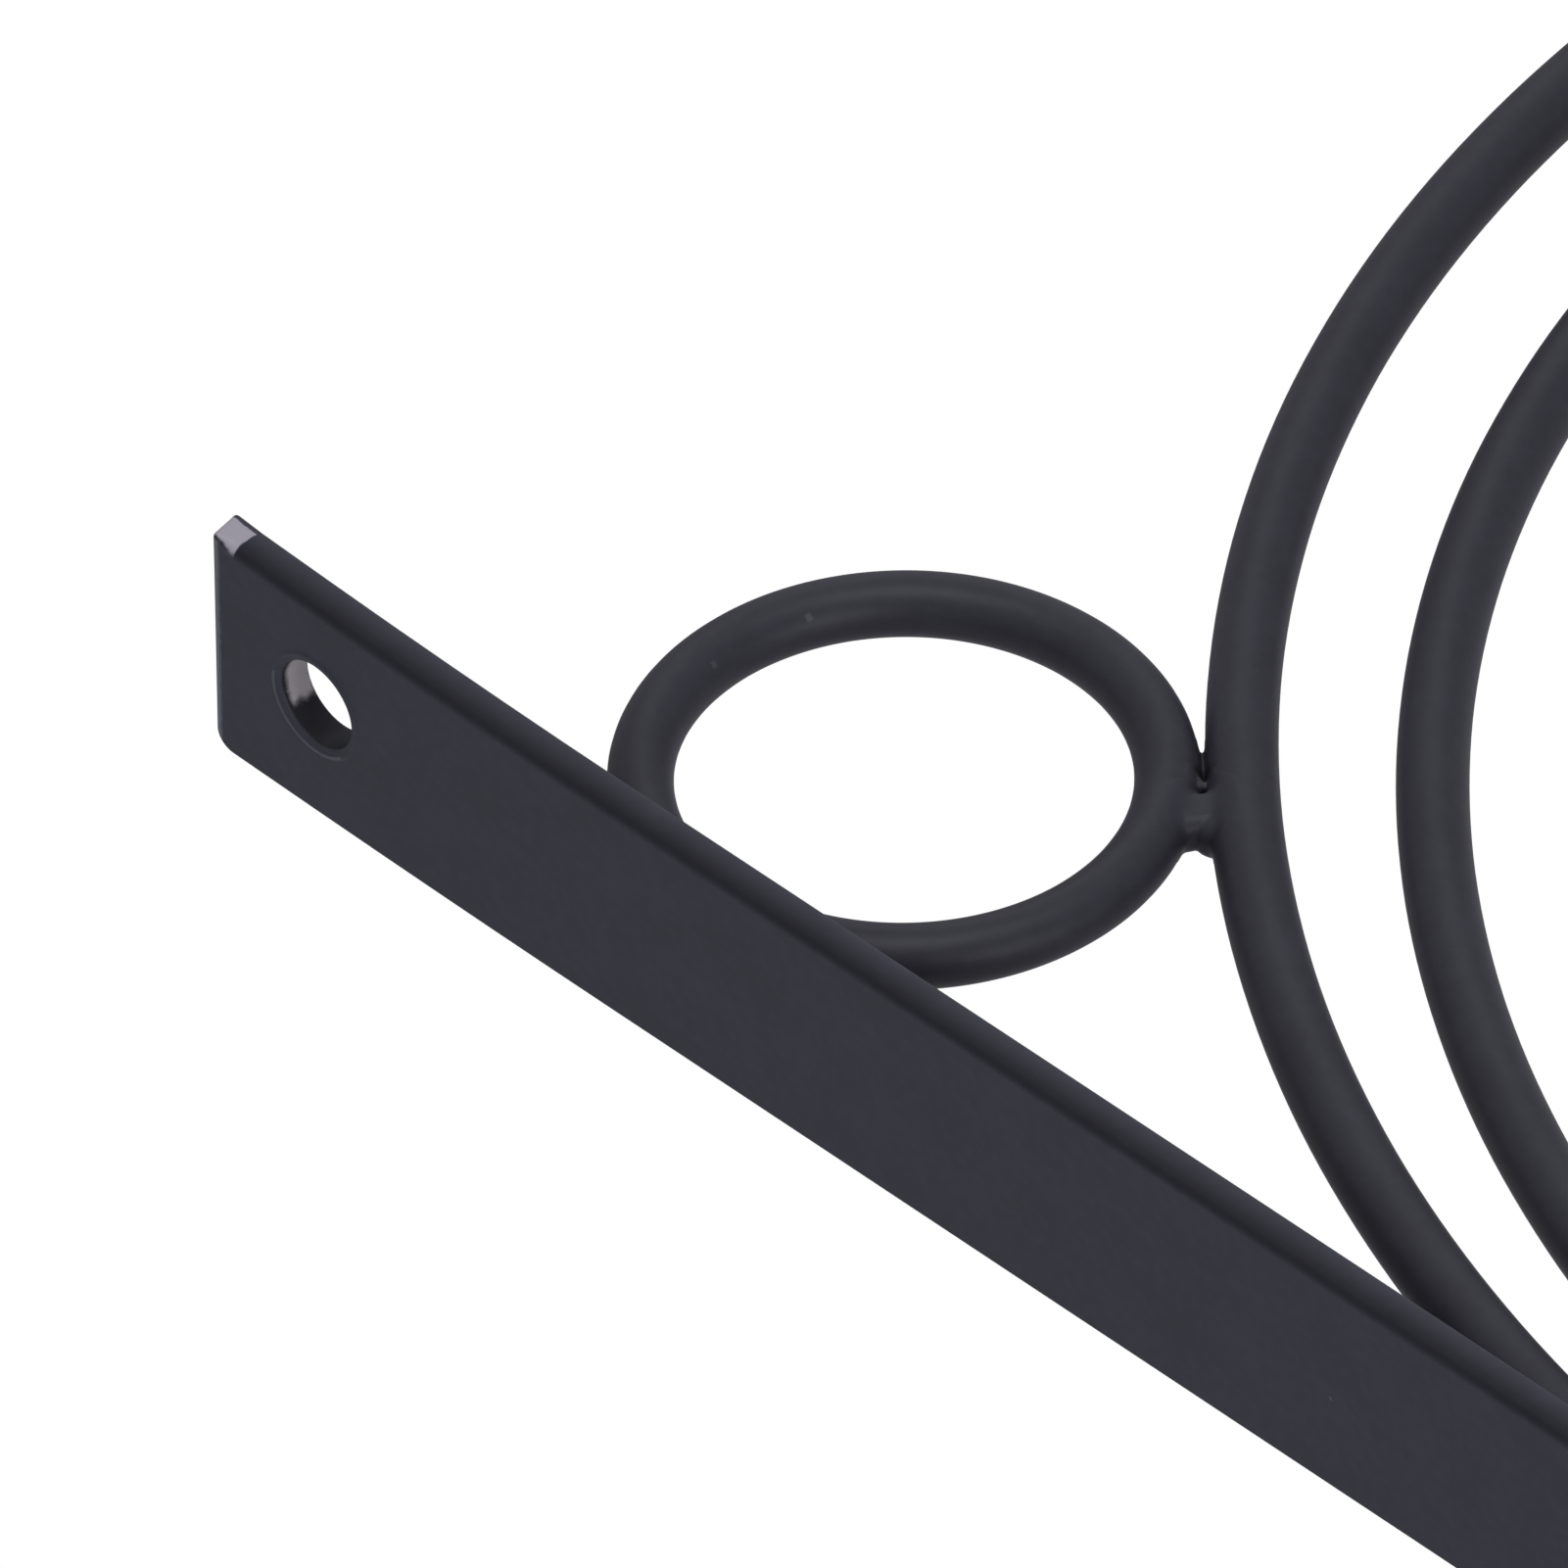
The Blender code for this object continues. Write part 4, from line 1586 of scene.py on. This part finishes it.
@dataclass(frozen=True)
class Welds:
    """Every weld of the bracket, each in a box that reaches a little into the bars it lies on."""

    layout: Layout
    box_outwards: float = 6.0 * MM
    box_inwards: float = 1.2 * MM
    box_along: float = 9.5 * MM
    box_across: float = 7.0 * MM
    web_lean: float = 0.22
    long_voxel: float = 0.2

    def build(self, finishes: Finishes) -> list[bpy.types.Object]:
        """Builds the welds.

        Args:
            finishes: The coats.

        Returns:
            The welds' pieces.
        """
        welds = (
            self._web("web_wall_small_ring", self.layout.wall_small_ring),
            self._web("web_arm_small_ring", self.layout.arm_small_ring),
            self._beside_wall("weld_wall_small_ring", "small_rings", self.layout.wall_small_ring),
            self._beside_wall("weld_outer_ring_wall", "outer_ring", self.layout.outer_ring),
            self._under_arm("weld_arm_small_ring", "small_rings", self.layout.arm_small_ring),
            self._under_arm("weld_outer_ring_arm", "outer_ring", self.layout.outer_ring),
            self._between_rings(),
            self._under_hook(),
            self._arm_corner(),
        )
        return [weld.build(finishes.materials[weld.slot]) for weld in welds]

    def _web(self, name: str, small: Ring) -> Weld:
        """The web in the crevice between a small ring and the outer ring, and the root under it."""
        contact, towards, along = self.layout.touch_point(small)
        web = Bead(
            centre=contact + along * 5.25 * MM,
            along=(along + towards * self.web_lean).normalized(),
            outwards=(towards - along * self.web_lean).normalized(),
            half=(0.7, 1.3, 0.45),
            roundness=1.25,
            ripple=0.0,
        )
        toe = contact + along * 6.3 * MM + towards * 0.8 * MM - across_by(0.2 * MM)
        root = contact + along * 0.1 * MM + across_by(-0.5 * MM)
        spatter = self.layout.spatter(small, 0.65 * MM)
        beads = (
            web,
            Bead(toe, along, towards, half=(0.3, 0.3, 0.2), roundness=1.5, ripple=0.0),
            Bead(root, along, towards, half=(1.9, 0.0, 0.0), roundness=0.5, ripple=0.0),
            Bead(spatter, along, towards, half=(0.0, 0.0, 0.0), roundness=0.4, ripple=0.0),
        )
        middle = contact + along * 2.6 * MM
        room = Vector((9.5, 3.9, 9.5)) * MM
        parents = (Grown(Parent.RING, ring=small), Grown(Parent.RING, ring=self.layout.outer_ring))
        low, high = middle - room, middle + room
        return Weld(name, "small_rings", parents, beads, low, high, blend=1.0, lumps=0.04)

    def _beside_wall(self, name: str, slot: str, ring: Ring) -> Weld:
        """Two beads where a ring lies against the wall bar's front face."""
        line = ring.line(LINE_SAMPLES)
        touch = (self.layout.bar_face, 0.0, float(line[int(line[:, 0].argmin())][1]))
        return self._against(name, slot, ring, np.array(touch), along=np.array(UP), outwards=np.array(OUT))

    def _under_arm(self, name: str, slot: str, ring: Ring) -> Weld:
        """Two beads where a ring lies against the arm's underside."""
        line = ring.line(LINE_SAMPLES)
        touch = (float(line[int(line[:, 1].argmax())][0]), 0.0, self.layout.arm_underside)
        return self._against(name, slot, ring, np.array(touch), along=np.array(OUT), outwards=-np.array(UP))

    def _against(
        self, name: str, slot: str, ring: Ring, touch: np.ndarray, along: np.ndarray, outwards: np.ndarray
    ) -> Weld:
        """Two beads where a ring lies against a bar's flat face.

        Args:
            name: The weld's name.
            slot: The material slot of its coat.
            ring: The ring.
            touch: The face's point beside the ring.
            along: The direction along the bar.
            outwards: The direction out of the face.

        Returns:
            The weld.
        """
        across = np.array(ACROSS)
        bead = Bead(
            centre=Vector(touch + outwards * (0.75 * MM) + across * (2.1 * MM)),
            along=Vector(along),
            outwards=Vector(outwards),
            half=(3.6, 0.2, 0.2),
            roundness=1.25,
        )
        aside = along * self.box_along + across * self.box_across
        ends = (touch + outwards * self.box_outwards + aside, touch - outwards * self.box_inwards - aside)
        low, high = Vector(np.minimum(*ends)), Vector(np.maximum(*ends))
        flat = Grown(Parent.FACE, point=Vector(touch), normal=Vector(outwards))
        return Weld(name, slot, (Grown(Parent.RING, ring=ring), flat), (bead,), low, high, mirrored=True)

    def _between_rings(self) -> Weld:
        """Two beads where the inner ring touches the outer ring."""
        inner, outer = self.layout.inner_ring, self.layout.outer_ring
        line = inner.line(LINE_SAMPLES)
        gaps = np.linalg.norm(line[:, None, :] - outer.line(COARSE_SAMPLES)[None, :, :], axis=2)
        row = line[int(gaps.min(axis=1).argmin())]
        away = Vector((row[0] - inner.centre[0], 0.0, row[1] - inner.centre[1])).normalized()
        contact = Vector((row[0], 0.0, row[1])) + away * (inner.rod + self.layout.touch_gap / 2)
        bead = Bead(
            centre=contact + across_by(1.7 * MM),
            along=away.cross(ACROSS),
            outwards=away,
            half=(3.8, 0.4, 0.1),
            roundness=1.05,
        )
        room = Vector((11.0, 4.0, 6.0)) * MM
        parents = (Grown(Parent.RING, ring=inner), Grown(Parent.RING, ring=outer))
        low, high = contact - room, contact + room
        return Weld("weld_inner_ring", "inner_ring", parents, (bead,), low, high, mirrored=True)

    def _under_hook(self) -> Weld:
        """Two long beads where the hook's shank lies against the arm's underside."""
        face = self.layout.arm_underside
        arm_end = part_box("arm")[1].x
        shank = HookLine().shank_under_arm
        centre_x = arm_end - shank / 2
        bead = Bead(
            centre=Vector((centre_x, 2.2 * MM, face - 0.8 * MM)),
            along=OUT,
            outwards=-UP,
            half=(7.4, 0.2, 0.2),
            roundness=1.3,
            pitch=1.7,
        )
        low = Vector((arm_end - shank + 0.8 * MM, -self.box_across, face - self.box_outwards))
        high = Vector((arm_end - 0.9 * MM, self.box_across, face + self.box_inwards))
        rod_z = face - self.layout.touch_gap - self.layout.rod
        rod = Grown(Parent.ROD, point=Vector((0.0, 0.0, rod_z)), radius=self.layout.rod)
        flat = Grown(Parent.FACE, point=Vector((0.0, 0.0, face)), normal=-UP)
        parents = (rod, flat)
        return Weld("weld_hook", "hook", parents, (bead,), low, high, mirrored=True, voxel=self.long_voxel)

    def _arm_corner(self) -> Weld:
        """The fillets over and under the arm where it meets the wall bar."""
        layout = self.layout
        face = layout.bar_face
        under = layout.arm_underside
        over = under + layout.thickness
        beads = tuple(
            Bead(
                centre=Vector((face + 0.55 * MM, 0.0, height + side * 0.55 * MM)),
                along=ACROSS,
                outwards=Vector((1.0, 0.0, side)).normalized(),
                half=(7.6, 0.0, 0.2),
                roundness=1.2,
                pitch=1.8,
            )
            for height, side in ((under, -1.0), (over, 1.0))
        )
        low = Vector((face - self.box_inwards, -9.4 * MM, under - 4.5 * MM))
        high = Vector((face + 5.0 * MM, 9.4 * MM, over + 4.5 * MM))
        wall = Grown(Parent.FACE, point=Vector((face, 0.0, 0.0)))
        slab = Grown(Parent.FACE, point=Vector((0.0, 0.0, over)), normal=UP)
        return Weld("weld_arm_corner", "arm", (wall, slab), beads, low, high, voxel=self.long_voxel)


@dataclass(frozen=True)
class Viewpoint:
    """The camera: a long lens from behind and above the wall bar's lower end, rolled on its side."""

    azimuth: float = math.radians(218.06)
    elevation: float = math.radians(31.85)
    roll: float = math.radians(123.32)
    distance: float = 4.0
    lens: float = 1232.3
    sensor: float = 36.0
    nearest: float = 0.1
    farthest: float = 50.0
    aim: Place = (0.024911, -0.007787, -0.125405)

    def axes(self) -> tuple[Vector, Vector, Vector]:
        """The camera's right, up and backward directions."""
        flat = math.cos(self.elevation)
        back = Vector(
            (math.sin(self.azimuth) * flat, -math.cos(self.azimuth) * flat, math.sin(self.elevation))
        )
        level = Vector((math.cos(self.azimuth), math.sin(self.azimuth), 0.0))
        right = level * math.cos(self.roll) + back.cross(level) * math.sin(self.roll)
        return right, back.cross(right), back

    def towards(self, right: float, up: float, back: float) -> Vector:
        """A direction given by the picture's own axes."""
        axes = self.axes()
        return (axes[0] * right + axes[1] * up + axes[2] * back).normalized()

    def build(self) -> None:
        """Makes the camera and points the scene to it."""
        right, up, back = self.axes()
        data = bpy.data.cameras.new("camera")
        data.lens = self.lens
        data.sensor_width = self.sensor
        data.clip_start = self.nearest
        data.clip_end = self.farthest
        camera = bpy.data.objects.new("camera", data)
        turn = Matrix((right, up, back)).transposed().to_4x4()
        camera.matrix_world = Matrix.Translation(Vector(self.aim) + back * self.distance) @ turn
        bpy.context.scene.collection.objects.link(camera)
        bpy.context.scene.camera = camera


@dataclass(frozen=True)
class SoftPanel:
    """A square lamp that looks at the bracket, placed by the picture's own axes."""

    name: str
    right: float
    up: float
    back: float
    watts: float
    size: float = 0.8
    distance: float = 1.4
    colour: Colour = COOL_LIGHT

    def build(self, view: Viewpoint) -> None:
        """Makes the lamp.

        Args:
            view: The viewpoint whose axes place it.
        """
        lamp = bpy.data.lights.new(self.name, "AREA")
        lamp.shape = "SQUARE"
        lamp.size = self.size
        lamp.energy = self.watts
        lamp.color = self.colour
        away = view.towards(self.right, self.up, self.back)
        obj = bpy.data.objects.new(self.name, lamp)
        obj.location = Vector(view.aim) + away * self.distance
        obj.rotation_euler = away.to_track_quat("Z", "Y").to_euler()
        bpy.context.scene.collection.objects.link(obj)


@dataclass(frozen=True)
class Studio:
    """Pale floor, pale surroundings and soft lamps."""

    view: Viewpoint
    floor_height: float = -1.6
    floor_radius: float = 1.5
    even: float = 0.28
    swell: float = 0.305
    swell_towards: Place = (0.0, 0.0, -1.0)
    floor_sides: int = 96
    floor_colour: Colour = (0.80, 0.80, 0.80)
    floor_roughness: float = 0.9
    panels: tuple[SoftPanel, ...] = (
        SoftPanel("key lamp", 0.0, 0.7, 0.7, 4.7),
        SoftPanel("fill lamp", 0.5, -0.4, 0.75, 5.0),
        SoftPanel("rim lamp", 0.0, 0.95, -0.3, 1.05),
    )

    def build(self) -> None:
        """Makes the floor, the surroundings and the lamps."""
        bpy.context.scene.view_settings.view_transform = "Standard"
        self._surroundings()
        self._floor()
        for panel in self.panels:
            panel.build(self.view)

    def _surroundings(self) -> None:
        """White behind the bracket, and a soft cool light from all round that swells from behind it."""
        world = bpy.data.worlds.new("surroundings")
        world.use_nodes = True
        bpy.context.scene.world = world
        tree = Tree(world.node_tree)
        inputs = {
            "Place": tree.field("ShaderNodeTexCoord", {}, "Generated"),
            "Towards": self.view.towards(*self.swell_towards),
            "Even": self.even,
            "Swell": self.swell,
        }
        strength = tree.field("ShaderNodeGroup", inputs, "Strength", {"node_tree": DomeStrength().build()})
        seen = tree.field("ShaderNodeLightPath", {}, "Is Camera Ray")
        background = tree.data.nodes["Background"]
        tree.link(tree.mix(seen, strength, 1.0), background.inputs["Strength"])
        tree.link(tree.mix_colour(seen, COOL_LIGHT, WHITE), background.inputs["Color"])

    def _floor(self) -> None:
        """A pale round floor under the bracket, white to the camera as the photograph's ground is."""
        bm = bmesh.new()
        place = Matrix.Translation((0.0, 0.0, self.floor_height))
        sizes = {"segments": self.floor_sides, "radius": self.floor_radius}
        bmesh.ops.create_circle(bm, cap_ends=True, matrix=place, **sizes)
        mesh = bpy.data.meshes.new("floor")
        bm.to_mesh(mesh)
        bm.free()
        material = bpy.data.materials.new("pale_floor")
        material.use_nodes = True
        tree = Tree(material.node_tree)
        shader = tree.data.nodes["Principled BSDF"]
        shader.inputs["Base Color"].default_value = (*self.floor_colour, 1.0)
        shader.inputs["Roughness"].default_value = self.floor_roughness
        inputs = {
            "Fac": tree.field("ShaderNodeLightPath", {}, "Is Camera Ray"),
            1: Field(tree, shader.outputs["BSDF"]),
            2: tree.field("ShaderNodeEmission", {}, "Emission"),
        }
        seen = tree.field("ShaderNodeMixShader", inputs, "Shader")
        tree.link(seen, tree.data.nodes["Material Output"].inputs["Surface"])
        new_piece("floor", mesh, material)


def main() -> None:
    """Builds the bracket's looks around the frame."""
    logging.basicConfig(level=logging.INFO, format="%(name)s: %(message)s", force=True)
    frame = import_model()
    LOG.info("frame nodes: %s", ", ".join(sorted(frame["nodes"])))
    layout = Layout()
    bar = WallBar(layout)
    finishes = Finishes.build(layout, -bar.hole_z)
    bar.build(finishes)
    Arm(layout).build(finishes)
    Rings(layout).build(finishes)
    Hook(layout).build(finishes)
    Welds(layout).build(finishes)
    view = Viewpoint()
    view.build()
    Studio(view).build()


if __name__ == "__main__":
    main()
